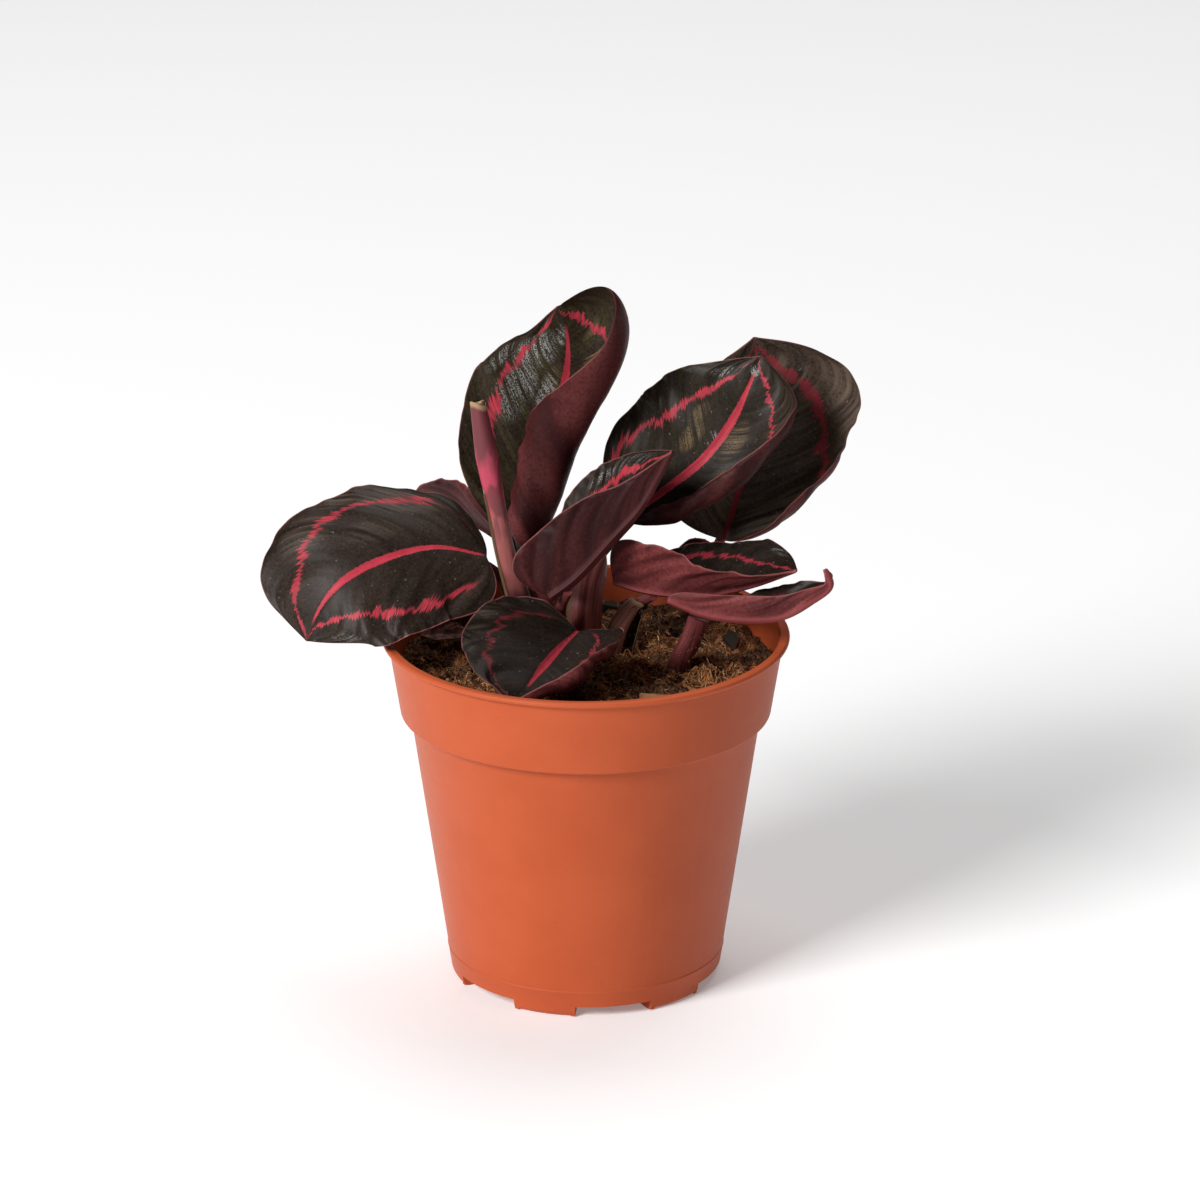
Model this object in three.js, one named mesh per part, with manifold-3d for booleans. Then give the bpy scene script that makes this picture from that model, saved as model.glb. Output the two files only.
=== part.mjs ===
// A young calathea in a round plastic nursery pot, in millimetres, +Z up.
// The origin is the middle of the pot's underside. +X is the viewer's right and -Y faces the viewer.
import * as THREE from "three";
import { mergeVertices } from "three/addons/utils/BufferGeometryUtils.js";
import Module from "manifold-3d";

// ---------------------------------------------------------------- driving dimensions

const POT_HEIGHT = 93.4;
const POT_SIDES = 48;
const WALL = 1.0;
const FOOT_RADIUS = 33.6; // where the underside starts to round up
const FOOT_ROUND = 1.9;
const BODY_RADIUS_LOW = 35.5;
const BODY_RADIUS_HIGH = 45.6; // just under the collar
const COLLAR_BOTTOM = 72.4; // height of the collar's lower edge
const COLLAR_RADIUS_LOW = 48.2;
const COLLAR_RADIUS_HIGH = 50.9;
const COLLAR_EDGE = 0.7; // rounding of the collar's lower edge
const BEAD_RADIUS = 52.8; // the rolled lip round the mouth
const BEAD_HEIGHT = 1.5;
const BEAD_ROUND = 0.3; // rounding of the lip's edges
const NECK_SWELL = 0.6; // how far the collar widens under the lip

const NOTCHES = 6; // drain notches in the foot
const NOTCH_PHASE = 12; // degrees, to the right of the front
const NOTCH_ANGLE = 33; // degrees of the foot that one notch takes
const NOTCH_HEIGHT = 3;
const NOTCH_DEPTH = 8; // how far in it goes from the foot's edge
const DRAIN_HOLE_RADIUS = 2.6;
const DRAIN_HOLE_SIDES = 16;
const ROOF_MARGIN = 2; // degrees that a notch's walls take on each side
const ARC_SEGMENTS = 6; // straight pieces of a notch's curved walls

const SOIL_LEVEL = 84.5;
const SOIL_RELIEF = 1.5; // height of the lumps
const SOIL_SIDES = 36;
const SOIL_RINGS = 9;
const CLEARANCE = 0.3; // between pieces that touch

const BLADE = 0.7; // thickness of a leaf
const RIB_DEPTH = 0.8; // how far the midrib stands out below the blade
const BLADE_ROWS = 15;
const BLADE_COLUMNS = [0, 0.07, 0.35, 0.6, 0.8, 0.92, 1]; // from the midrib to the margin
const BLADE_TIP = 0.45; // half width at the very ends
const BLADE_CROWDING = 0.55; // how far its rows crowd towards the two ends, from 0 to 1
const STEM_SIDES = 8;
const STEM_ROWS = 10;
const ROOT_DEPTH = 12; // how deep a stem stands in the soil
const STEM_SEAT = 0.08; // where a stem meets the midrib, as a share of its length
const ROW_STEPS = 24; // steps from the midrib to a point of the blade
const END_REACH = 0.4; // share of the midrib along which lobes hang back or shoulders stand forward

// Each leaf: its midrib from base to tip, the way its upper side faces at both ends, and its two halves.
// A half has its widest width and where along the midrib that is, how full it is towards the base and the
// tip, and how steeply it rises from the midrib and how far it curls up on the way to the margin, both in
// degrees at the base, the middle and the tip. A bend over 1 moves the curl out towards the margin. A lobe
// hangs back behind the base and a shoulder stands forward beside the tip, by so many millimetres. right is
// to the right of someone who looks from the base to the tip with the upper side up.
const LEAVES = {
  left: {
    rib: [
      [-25.5, 3.5, 113], [-39, 2, 115.8], [-53, -2, 113.5],
      [-63, -5, 108.5], [-68.5, -6.5, 102], [-72, -8, 93.7],
    ],
    face: [[-0.05, -0.72, 0.7], [-0.45, -0.8, 0.4]],
    left: { width: 21.8, widest: 0.48, full: [0.4, 3], rise: [5, 0, 0], curl: [-10, -10, 0], lobe: 12 },
    right: { width: 25.2, widest: 0.58, full: [0.6, 2.4], rise: [0, 5, 0], curl: [-50, -35, -10], lobe: 3 },
    wave: { height: 0.5, count: 4, phase: 2.2 },
    stem: [[-20, 9, 84], [-20, 8.5, 96], [-21.5, 7, 105]],
    stemRadius: [2.2, 1.7, 1.2],
  },
  tall: {
    rib: [
      [-15.5, 14, 111.5], [-12, 19.5, 129], [-8, 22.5, 144.5],
      [-5, 23, 156.5], [-4.8, 22, 167], [-7.2, 20, 175],
    ],
    face: [[0.05, -0.97, 0.2], [0, -1, 0.1]],
    left: {
      width: 24.3, widest: 0.4, full: [0.75, 1.9],
      rise: [10, 5, -10], curl: [30, 10, 0], shoulder: 3,
    },
    right: {
      width: 34.5, widest: 0.55, full: [0.45, 4.2],
      rise: [10, -5, -22], curl: [235, 268, 85], shoulder: 22,
    },
    wave: { height: 0.2, count: 3, phase: 2 },
    stem: [[-8, 14, 84], [-11, 15.5, 98], [-14.3, 16.8, 106]],
    stemRadius: [2.4, 1.8, 1.3],
  },
  centre: {
    rib: [[-9.5, -8.6, 105.5], [-2.5, -8.8, 111], [7.5, -9, 122.5], [14, -9, 130.2], [22, -8, 145.3]],
    face: [[-0.7, 0.3, 0.7], [-0.75, 0.2, 0.6]],
    left: { width: 20.5, widest: 0.62, full: [0.7, 1.4], rise: [60, 50, 30], curl: [20, 10, 0] },
    right: { width: 15.5, widest: 0.2, full: [0.35, 0.95], rise: [76, 80, 70], curl: [10, 10, 0], lobe: 8 },
    wave: { height: 0.2, count: 3, phase: 1 },
    stem: [[-7.5, 2.5, 84], [-6.5, 0.5, 94], [-6.5, -3, 100.5]],
    stemRadius: [2.2, 1.7, 1.2],
    seat: 0.1,
  },
  right: {
    rib: [
      [10, 16, 118.5], [19.5, 14, 126.5], [30, 12, 136],
      [37, 12, 145.5], [41, 12, 154], [45, 14, 163.5],
    ],
    face: [[-0.3, -0.8, 0.5], [-0.2, -0.9, 0.3]],
    left: { width: 23.5, widest: 0.42, full: [0.45, 1.9], rise: [10, 5, 0], curl: [20, -10, -10] },
    right: { width: 22.5, widest: 0.5, full: [0.7, 3.2], rise: [5, 0, 0], curl: [280, 215, 60], bend: 2.5 },
    wave: { height: 0.6, count: 3, phase: 0 },
    stem: [[-1.5, 8, 84], [-1, 8, 92], [-0.8, 8.5, 98], [1, 12, 106], [5.5, 17.4, 110.6]],
    stemRadius: [3.4, 4.6, 5.4, 5.2, 1.9, 1],
  },
  far_right: {
    rib: [
      [36, 18, 112], [38, 20, 118.5], [41, 23, 128],
      [43.5, 25, 143], [44.5, 25, 156], [43.5, 22, 166],
    ],
    face: [[0, -0.95, 0.25], [0.1, -1, -0.1]],
    left: { width: 24, widest: 0.45, full: [0.4, 1.3], rise: [10, 5, 0], curl: [10, 0, 0] },
    right: { width: 32.5, widest: 0.6, full: [0.62, 1.5], rise: [5, 5, 0], curl: [150, 120, 0], bend: 2.2 },
    wave: { height: 0.8, count: 3, phase: 1.5 },
    stem: [[27.5, 21, 84], [29, 22, 96], [33, 21.5, 106]],
    stemRadius: [2.2, 1.7, 1.2],
  },
  low_upper: {
    rib: [[7, 2, 106.5], [16.5, -1, 104.8], [29.5, -4, 105], [42, -7, 108.5], [54, -10, 114]],
    face: [[-0.2, -0.2, 0.95], [-0.2, 0.1, 0.95]],
    left: { width: 16.5, widest: 0.7, full: [0.7, 2.2], rise: [40, 30, 10], curl: [20, 10, 0] },
    right: { width: 15.5, widest: 0.2, full: [0.4, 0.9], rise: [85, 60, 20], curl: [20, 10, 0], lobe: 5 },
    wave: { height: 0.5, count: 3, phase: 0.5 },
    stem: [[8.5, 10, 84], [10, 10, 91], [13.5, 7.5, 98], [15.5, 3, 101]],
    stemRadius: [2.8, 4.1, 4.1, 2.4, 1.2],
    seat: 0.22,
  },
  low_lower: {
    rib: [
      [21, -9, 105.5], [29.5, -11, 102.5], [39.5, -13, 101.5], [50, -14, 102.5],
      [57.5, -15, 107], [62.3, -15.5, 111.5], [60.8, -15, 115.8],
    ],
    face: [[-0.2, 0.3, 0.95], [-0.6, 0.3, 0.7]],
    left: { width: 10.5, widest: 0.6, full: [1.4, 1], rise: [20, 44, 15], curl: [10, 10, 0] },
    right: { width: 6.4, widest: 0.45, full: [0.5, 1.1], rise: [60, 65, 40], curl: [20, 20, 20] },
    wave: { height: 0.3, count: 3, phase: 0 },
    stem: [[23.5, -2, 83], [25.5, -6, 90], [27.5, -9, 95.5]],
    stemRadius: [2, 2.8, 2.7],
    seat: 0.18,
  },
  front: {
    rib: [[-2, -10, 97.3], [-6.5, -19, 96], [-11.5, -29, 93.5], [-15.5, -38, 91.5], [-18.5, -46, 91.5]],
    face: [[0.15, -0.25, 0.95], [0.15, -0.1, 0.95]],
    left: {
      width: 20.5, widest: 0.45, full: [0.5, 1.5],
      rise: [20, 5, 0], curl: [0, 120, 150], bend: 2.5, lobe: 9,
    },
    right: { width: 22.3, widest: 0.45, full: [0.5, 1.6], rise: [15, 15, 5], curl: [10, 5, 0], lobe: 5 },
    wave: { height: 0.5, count: 3, phase: 0 },
    stem: [[-0.5, -1, 84], [-1, -3, 89]],
    stemRadius: [1.8, 1.4, 1],
  },
  back_left: {
    rib: [[-18, 27, 106], [-27, 34, 110], [-37, 41, 112.5], [-48, 48, 111]],
    face: [[0, 0, 1], [-0.2, 0.2, 0.9]],
    left: { width: 17, widest: 0.45, full: [0.4, 0.8], rise: [50, 50, 40], curl: [20, 10, 0] },
    right: { width: 18, widest: 0.45, full: [0.6, 1.3], rise: [20, 10, 0], curl: [0, -10, -10] },
    wave: { height: 0.6, count: 3, phase: 0 },
    stem: [[-12, 21, 84], [-13, 23, 94], [-16, 25, 101]],
    stemRadius: [2, 1.6, 1.1],
  },
  small_back: {
    rib: [[33, 31, 99], [30, 32, 101.5], [27, 33, 103], [24, 34, 104]],
    face: [[0.3, 0.2, 0.9], [0.3, 0.2, 0.9]],
    left: { width: 7, widest: 0.45, full: [0.6, 1.3], rise: [50, 50, 40], curl: [20, 20, 0] },
    right: { width: 7, widest: 0.45, full: [0.6, 1.3], rise: [20, 20, 20], curl: [10, 10, 0] },
    wave: { height: 0.15, count: 2, phase: 0 },
    stem: [[29, 30, 84], [31, 30.5, 92]],
    stemRadius: [1.5, 1.3, 0.9],
  },
};

// A withered leaf lies on the soil beside the stub of a cut stem.
const WITHERED = {
  rib: [[-43, 13, 87.8], [-37, 13, 88], [-30, 13, 88]],
  face: [[0, -0.3, 1], [0, -0.3, 1]],
  left: { width: 3.5, widest: 0.5, full: [0.6, 1.3], rise: [20, 30, 20], curl: [0, 20, 0] },
  right: { width: 3, widest: 0.5, full: [0.6, 1.3], rise: [10, 10, 10], curl: [0, -10, 0] },
  wave: { height: 0.15, count: 2, phase: 0 },
};
const STUB_PATH = [[-39.5, 19, 77], [-39.5, 18.8, 84.5], [-39, 18.5, 88]];
const STUB_RADIUS = [1.8, 1.7, 1.6];
const STUB_WALL = 0.6;

// Bark chips and clods that stand out of the soil: where they lie, which way they point and their size.
const CHIPS = [
  { place: [18, -25], turn: 12, size: [9, 3, 2] },
  { place: [27, -17], turn: -55, size: [7, 2, 1.6] },
  { place: [-30, -24], turn: -35, size: [8, 3, 1.6] },
  { place: [-22, 34], turn: 60, size: [9, 3, 2] },
  { place: [38, 12], turn: -70, size: [7, 3, 1.6] },
  { place: [6, 38], turn: 10, size: [8, 3, 1.8] },
];
const CHIP_TILT = 0.25; // how far a chip leans to one side, as a share of its turn
const CHIP_LIFT = 0.2; // how far its middle lies above the soil, as a share of its height
const CLODS = [
  { place: [13, -3], radius: 5 },
  { place: [32, -9], radius: 3.5 },
  { place: [36, 22], radius: 4 },
  { place: [14, 17], radius: 3.5 },
  { place: [-30, 6], radius: 4 },
  { place: [-24, -16], radius: 3.5 },
  { place: [-33, 28], radius: 4 },
  { place: [4, -36], radius: 3.5 },
];
const CLOD_SINK = 0.55; // how far a clod is sunk, as a share of its radius

// The youngest leaf is still rolled up: a tube from its sheath to its open end.
const ROLLED_PATH = [
  [-14, 1, 84], [-16.5, -2, 101], [-20, -4, 114.5],
  [-22.5, -5, 128], [-25.5, -5, 145], [-27.5, -4, 157.5],
];
const ROLLED_RADIUS = [3.0, 3.6, 2.9, 2.8, 3.2, 2.2];

// ---------------------------------------------------------------- colours

const COLOURS = {
  terracotta: { color: 0xb4572f, roughness: 0.5, metalness: 0 },
  soil: { color: 0x2c1a0f, roughness: 1, metalness: 0 },
  blade: { color: 0x2b2a22, roughness: 0.4, metalness: 0 },
  stem: { color: 0x6e2c33, roughness: 0.5, metalness: 0 },
  rolled: { color: 0xb24a5c, roughness: 0.5, metalness: 0 },
  dry: { color: 0xa98a5c, roughness: 0.9, metalness: 0 },
};

// ---------------------------------------------------------------- solids

const wasm = await Module();
wasm.setup();

const radians = THREE.MathUtils.degToRad;

function solid(geometry) {
  const bare = geometry.clone();
  bare.deleteAttribute("normal");
  bare.deleteAttribute("uv");
  const merged = mergeVertices(bare, 1e-4);
  const corners = merged.index.array;
  const kept = [];
  for (let i = 0; i < corners.length; i += 3) {
    const [a, b, c] = corners.slice(i, i + 3);
    if (a !== b && b !== c && c !== a) kept.push(a, b, c);
  }
  const vertProperties = new Float32Array(merged.attributes.position.array);
  return new wasm.Manifold(new wasm.Mesh({ numProp: 3, vertProperties, triVerts: new Uint32Array(kept) }));
}

function geometryOf(body) {
  const mesh = body.getMesh();
  const geometry = new THREE.BufferGeometry();
  geometry.setAttribute("position", new THREE.BufferAttribute(mesh.vertProperties, 3));
  geometry.setIndex(new THREE.BufferAttribute(mesh.triVerts, 1));
  return geometry;
}

// A solid of revolution round the pot's axis, from [radius, height] points that start and end on it.
function turned(profile, sides) {
  const points = profile.map(([radius, height]) => new THREE.Vector2(radius, height));
  const geometry = new THREE.LatheGeometry(points, sides);
  geometry.rotateX(Math.PI / 2);
  return geometry;
}

// A block between two radii and two heights, angle degrees wide, its middle at the given azimuth.
function sector(inner, outer, bottom, top, angle, azimuth) {
  const half = radians(angle / 2);
  const shape = new THREE.Shape();
  shape.absarc(0, 0, outer, -half, half, false);
  shape.absarc(0, 0, inner, half, -half, true);
  const settings = { depth: top - bottom, bevelEnabled: false, curveSegments: ARC_SEGMENTS };
  const geometry = new THREE.ExtrudeGeometry(shape, settings);
  geometry.translate(0, 0, bottom);
  geometry.rotateZ(radians(azimuth));
  return geometry;
}

// A closed body through equal rings of points, with flat ends.
function lofted(rings) {
  const sides = rings[0].length;
  const positions = rings.flat().flatMap((point) => [point.x, point.y, point.z]);
  const index = [];
  for (let row = 0; row + 1 < rings.length; row += 1) {
    for (let side = 0; side < sides; side += 1) {
      const next = (side + 1) % sides;
      const a = row * sides + side;
      const b = row * sides + next;
      index.push(a, b, b + sides, a, b + sides, a + sides);
    }
  }
  const last = (rings.length - 1) * sides;
  for (let side = 1; side + 1 < sides; side += 1) {
    index.push(0, side + 1, side);
    index.push(last, last + side, last + side + 1);
  }
  const geometry = new THREE.BufferGeometry();
  geometry.setAttribute("position", new THREE.Float32BufferAttribute(positions, 3));
  geometry.setIndex(index);
  return geometry;
}

function curveThrough(points) {
  return new THREE.CatmullRomCurve3(points.map((point) => new THREE.Vector3(...point)));
}

// The value at t of a smooth curve through a value at the base, the middle and the tip.
function along([base, middle, tip], t) {
  return base * (1 - t) * (1 - 2 * t) + middle * 4 * t * (1 - t) + tip * t * (2 * t - 1);
}

// ---------------------------------------------------------------- pot

function potOuter() {
  const beadMiddle = POT_HEIGHT - BEAD_HEIGHT / 2;
  return [
    [0, 0],
    [FOOT_RADIUS, 0],
    [FOOT_RADIUS + 0.7 * FOOT_ROUND, 0.3 * FOOT_ROUND],
    [BODY_RADIUS_LOW, FOOT_ROUND],
    [BODY_RADIUS_HIGH, COLLAR_BOTTOM],
    [COLLAR_RADIUS_LOW - COLLAR_EDGE, COLLAR_BOTTOM],
    [COLLAR_RADIUS_LOW, COLLAR_BOTTOM + COLLAR_EDGE],
    [COLLAR_RADIUS_HIGH, POT_HEIGHT - 2 * BEAD_HEIGHT],
    [COLLAR_RADIUS_HIGH + NECK_SWELL, POT_HEIGHT - BEAD_HEIGHT],
    [BEAD_RADIUS - BEAD_ROUND, POT_HEIGHT - BEAD_HEIGHT],
    [BEAD_RADIUS, beadMiddle],
    [BEAD_RADIUS - BEAD_ROUND, POT_HEIGHT],
    [0, POT_HEIGHT],
  ];
}

// The pot's inside, from its floor to above its mouth, kept a gap away from the wall.
function potInner(gap) {
  const inside = WALL + gap;
  const mouth = POT_HEIGHT + WALL;
  return [
    [0, inside],
    [FOOT_RADIUS - gap, inside],
    [BODY_RADIUS_LOW - inside, inside + FOOT_ROUND],
    [BODY_RADIUS_HIGH - inside, COLLAR_BOTTOM + WALL],
    [COLLAR_RADIUS_LOW - inside, COLLAR_BOTTOM + inside + CLEARANCE],
    [COLLAR_RADIUS_HIGH - inside, POT_HEIGHT - BEAD_HEIGHT],
    [COLLAR_RADIUS_HIGH - inside, mouth],
    [0, mouth],
  ];
}

function eachNotch(make) {
  return Array.from({ length: NOTCHES }, (_, i) => make(-90 + NOTCH_PHASE + (i * 360) / NOTCHES));
}

// What is kept free of soil over one notch, grown by a gap: its roof and walls.
function notchRoof(azimuth, gap) {
  const inner = FOOT_RADIUS - NOTCH_DEPTH - WALL - gap;
  const wider = NOTCH_ANGLE + 2 * ROOF_MARGIN * (1 + gap);
  return solid(sector(inner, BODY_RADIUS_LOW + WALL, 0, NOTCH_HEIGHT + WALL + gap, wider, azimuth));
}

function pot() {
  let hollow = solid(turned(potInner(0), POT_SIDES));
  let body = solid(turned(potOuter(), POT_SIDES));
  for (const roof of eachNotch((azimuth) => notchRoof(azimuth, 0))) hollow = hollow.subtract(roof);
  body = body.subtract(hollow);
  const inner = FOOT_RADIUS - NOTCH_DEPTH;
  const outer = BODY_RADIUS_LOW + 2 * WALL;
  eachNotch((azimuth) => {
    body = body.subtract(solid(sector(inner, outer, -WALL, NOTCH_HEIGHT, NOTCH_ANGLE, azimuth)));
    const hole = new THREE.CylinderGeometry(DRAIN_HOLE_RADIUS, DRAIN_HOLE_RADIUS, 3 * WALL, DRAIN_HOLE_SIDES);
    hole.rotateX(Math.PI / 2);
    hole.translate(inner + NOTCH_DEPTH / 2, 0, NOTCH_HEIGHT + WALL / 2);
    hole.rotateZ(radians(azimuth));
    body = body.subtract(solid(hole));
  });
  return geometryOf(body);
}

// ---------------------------------------------------------------- soil

// The lumps of the surface, as a sum of waves that fade at the wall.
function soilHeight(x, y) {
  const coarse = Math.sin(0.23 * x + 1.3) * Math.cos(0.19 * y - 0.4);
  const middle = Math.sin(0.41 * x - 0.33 * y + 2.1) * Math.cos(0.37 * y + 0.21 * x);
  const fine = Math.sin(0.93 * x + 0.7) * Math.sin(0.87 * y + 1.9);
  return SOIL_LEVEL + SOIL_RELIEF * (0.8 * coarse + 0.7 * middle + 0.4 * fine);
}

function soil(stems) {
  const upTheCollar = (SOIL_LEVEL - COLLAR_BOTTOM) / (POT_HEIGHT - COLLAR_BOTTOM);
  const edge = THREE.MathUtils.lerp(COLLAR_RADIUS_LOW, COLLAR_RADIUS_HIGH, upTheCollar) - WALL - CLEARANCE;
  const profile = potInner(CLEARANCE).slice(0, 5);
  for (let ring = SOIL_RINGS; ring >= 0; ring -= 1) profile.push([(edge * ring) / SOIL_RINGS, SOIL_LEVEL]);
  const geometry = turned(profile, SOIL_SIDES);
  const position = geometry.attributes.position;
  for (let i = 0; i < position.count; i += 1) {
    if (position.getZ(i) < SOIL_LEVEL - CLEARANCE) continue;
    position.setZ(i, soilHeight(position.getX(i), position.getY(i)));
  }
  let body = solid(geometry);
  for (const roof of eachNotch((azimuth) => notchRoof(azimuth, CLEARANCE))) body = body.subtract(roof);
  for (const { place: [x, y], turn, size: [length, width, height] } of CHIPS) {
    const chip = new THREE.BoxGeometry(length, width, height);
    chip.rotateX(radians(CHIP_TILT * turn));
    chip.rotateZ(radians(turn));
    chip.translate(x, y, soilHeight(x, y) + CHIP_LIFT * height);
    body = body.add(solid(chip));
  }
  for (const { place: [x, y], radius } of CLODS) {
    const clod = new THREE.DodecahedronGeometry(radius);
    clod.rotateZ(x + y);
    clod.translate(x, y, soilHeight(x, y) - radius * CLOD_SINK);
    body = body.add(solid(clod));
  }
  for (const hole of stems) body = body.subtract(hole);
  return geometryOf(body);
}

// ---------------------------------------------------------------- leaves

// Half width of a blade as a share of its widest: round at the base, running out to a point.
function outline(t, { widest, full: [base, tip] }) {
  if (t < widest) return Math.sin((Math.PI / 2) * (t / widest) ** base);
  return Math.cos((Math.PI / 2) * ((t - widest) / (1 - widest)) ** tip);
}

// The midrib's point at t with its three directions: on towards the tip, across and up from the face.
function ribFrame(leaf, t) {
  const curve = curveThrough(leaf.rib);
  const [baseFace, tipFace] = leaf.face.map((face) => new THREE.Vector3(...face).normalize());
  const point = curve.getPointAt(t);
  const tangent = curve.getTangentAt(t);
  const across = new THREE.Vector3().crossVectors(tangent, baseFace.lerp(tipFace, t)).normalize();
  const up = new THREE.Vector3().crossVectors(across, tangent).normalize();
  return { point, tangent, across, up };
}

// The way out from the midrib and up from its face, in widths of the half, and the lean of the blade at a
// share of the way to the margin.
function bentRow(t, reach, side) {
  const rise = radians(along(side.rise, t));
  const curl = radians(along(side.curl, t));
  const bend = side.bend ?? 1;
  let out = 0;
  let high = 0;
  for (let step = 0; step < ROW_STEPS; step += 1) {
    const lean = rise + curl * ((reach * (step + 0.5)) / ROW_STEPS) ** bend;
    out += (Math.cos(lean) * reach) / ROW_STEPS;
    high += (Math.sin(lean) * reach) / ROW_STEPS;
  }
  return { out, high, lean: rise + curl * reach ** bend };
}

// A point of the blade's upper side and the way that it faces there. share runs from -1 at the left
// margin to 1 at the right one.
function bladePoint(leaf, frame, t, share) {
  const side = share < 0 ? leaf.left : leaf.right;
  const sign = Math.sign(share);
  const reach = Math.abs(share);
  const fullness = outline(t, side);
  const width = Math.max(side.width * fullness, BLADE_TIP);
  const { out, high, lean } = bentRow(t, reach, side);
  const facing = new THREE.Vector3();
  facing.addScaledVector(frame.across, -sign * Math.sin(lean));
  facing.addScaledVector(frame.up, share === 0 ? 1 : Math.cos(lean));
  const { height, count, phase } = leaf.wave;
  const wave = height * Math.sin(2 * Math.PI * count * t + phase + sign);
  const shoulder = (side.shoulder ?? 0) * Math.max(1 - (1 - t) / END_REACH, 0) ** 2;
  const lobe = (side.lobe ?? 0) * Math.max(1 - t / END_REACH, 0) ** 2;
  const point = frame.point.clone();
  point.addScaledVector(frame.across, sign * width * out);
  point.addScaledVector(frame.up, width * high);
  point.addScaledVector(facing, wave * reach * reach * fullness);
  point.addScaledVector(frame.tangent, (shoulder - lobe) * reach * reach * fullness);
  return { point, facing };
}

function blade(leaf) {
  const shares = [...BLADE_COLUMNS.slice(1).reverse().map((share) => -share), ...BLADE_COLUMNS];
  const columns = shares.length;
  const upper = [];
  const lower = [];
  for (let row = 0; row <= BLADE_ROWS; row += 1) {
    const even = row / BLADE_ROWS;
    const t = THREE.MathUtils.lerp(even, 0.5 - 0.5 * Math.cos(Math.PI * even), BLADE_CROWDING);
    const frame = ribFrame(leaf, t);
    for (const share of shares) {
      const { point, facing } = bladePoint(leaf, frame, t, share);
      const depth = BLADE + (share === 0 ? RIB_DEPTH : 0);
      upper.push(point);
      lower.push(point.clone().addScaledVector(facing, -depth));
    }
  }
  const count = upper.length;
  const index = [];
  const quad = (a, b, c, d) => index.push(a, b, c, a, c, d);
  for (let row = 0; row < BLADE_ROWS; row += 1) {
    for (let column = 0; column + 1 < columns; column += 1) {
      const a = row * columns + column;
      const [b, c, d] = [a + 1, a + columns + 1, a + columns];
      quad(a, b, c, d);
      index.push(count + a, count + c, count + b, count + a, count + d, count + c);
    }
    const left = row * columns;
    const right = left + columns - 1;
    quad(left, left + columns, count + left + columns, count + left);
    quad(right, count + right, count + right + columns, right + columns);
  }
  for (let column = 0; column + 1 < columns; column += 1) {
    const last = BLADE_ROWS * columns + column;
    quad(column, count + column, count + column + 1, column + 1);
    quad(last, last + 1, count + last + 1, count + last);
  }
  const geometry = new THREE.BufferGeometry();
  const positions = [...upper, ...lower].flatMap((point) => [point.x, point.y, point.z]);
  geometry.setAttribute("position", new THREE.Float32BufferAttribute(positions, 3));
  geometry.setIndex(index);
  return geometry;
}

// A round stem through the given points, grown by a gap where it cuts its own hole.
function stem(points, radii, gap = 0) {
  const curve = curveThrough(points);
  const rings = [];
  let side = new THREE.Vector3(1, 0, 0);
  for (let row = 0; row <= STEM_ROWS; row += 1) {
    const t = row / STEM_ROWS;
    const centre = curve.getPointAt(t);
    const tangent = curve.getTangentAt(t);
    side = side.addScaledVector(tangent, -side.dot(tangent)).normalize();
    const front = new THREE.Vector3().crossVectors(tangent, side);
    const place = t * (radii.length - 1);
    const from = Math.min(Math.floor(place), radii.length - 2);
    const radius = THREE.MathUtils.lerp(radii[from], radii[from + 1], place - from) + gap;
    const ring = Array.from({ length: STEM_SIDES }, (_, i) => {
      const angle = (2 * Math.PI * i) / STEM_SIDES;
      const point = centre.clone();
      point.addScaledVector(side, radius * Math.cos(angle));
      return point.addScaledVector(front, radius * Math.sin(angle));
    });
    rings.push(ring);
  }
  return lofted(rings);
}

// The stem's way: from below the soil, through its own points, to just under the midrib.
function stemPath(leaf) {
  const { point, up } = ribFrame(leaf, leaf.seat ?? STEM_SEAT);
  const arriving = point.clone().sub(new THREE.Vector3(...leaf.stem.at(-1))).normalize();
  const slant = new THREE.Vector3().crossVectors(arriving, up).length();
  point.addScaledVector(up, -(BLADE + RIB_DEPTH + CLEARANCE + leaf.stemRadius.at(-1) * slant));
  const [x, y, z] = leaf.stem[0];
  return [[x, y, z - ROOT_DEPTH], ...leaf.stem, point.toArray()];
}

// ---------------------------------------------------------------- the plant in its pot

const plant = new THREE.Group();

function add(name, geometry, colour) {
  const mesh = new THREE.Mesh(geometry, new THREE.MeshStandardMaterial(colour));
  mesh.name = name;
  plant.add(mesh);
}

const holes = [];
const [rootX, rootY, rootZ] = ROLLED_PATH[0];
const rolledPath = [[rootX, rootY, rootZ - ROOT_DEPTH], ...ROLLED_PATH];
const rolledRadius = [ROLLED_RADIUS[0], ...ROLLED_RADIUS];

for (const [name, leaf] of Object.entries(LEAVES)) {
  const path = stemPath(leaf);
  add(`leaf_${name}`, blade(leaf), COLOURS.blade);
  add(`stem_${name}`, stem(path, leaf.stemRadius), COLOURS.stem);
  holes.push(solid(stem(path, leaf.stemRadius, CLEARANCE)));
}
const [stubMiddle, [stubX, stubY, stubTop]] = STUB_PATH.slice(-2);
const borePath = [stubMiddle, [stubX, stubY, stubTop], [stubX, stubY, stubTop + WALL]];
const boreRadius = STUB_RADIUS.at(-1) - STUB_WALL;
const bore = solid(stem(borePath, [boreRadius, boreRadius]));
add("stub", geometryOf(solid(stem(STUB_PATH, STUB_RADIUS)).subtract(bore)), COLOURS.dry);
holes.push(solid(stem(STUB_PATH, STUB_RADIUS, CLEARANCE)));
add("leaf_withered", blade(WITHERED), COLOURS.dry);
add("leaf_rolled", stem(rolledPath, rolledRadius), COLOURS.rolled);
holes.push(solid(stem(rolledPath, rolledRadius, CLEARANCE)));
add("pot", pot(), COLOURS.terracotta);
add("soil", soil(holes), COLOURS.soil);

export default plant;
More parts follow.
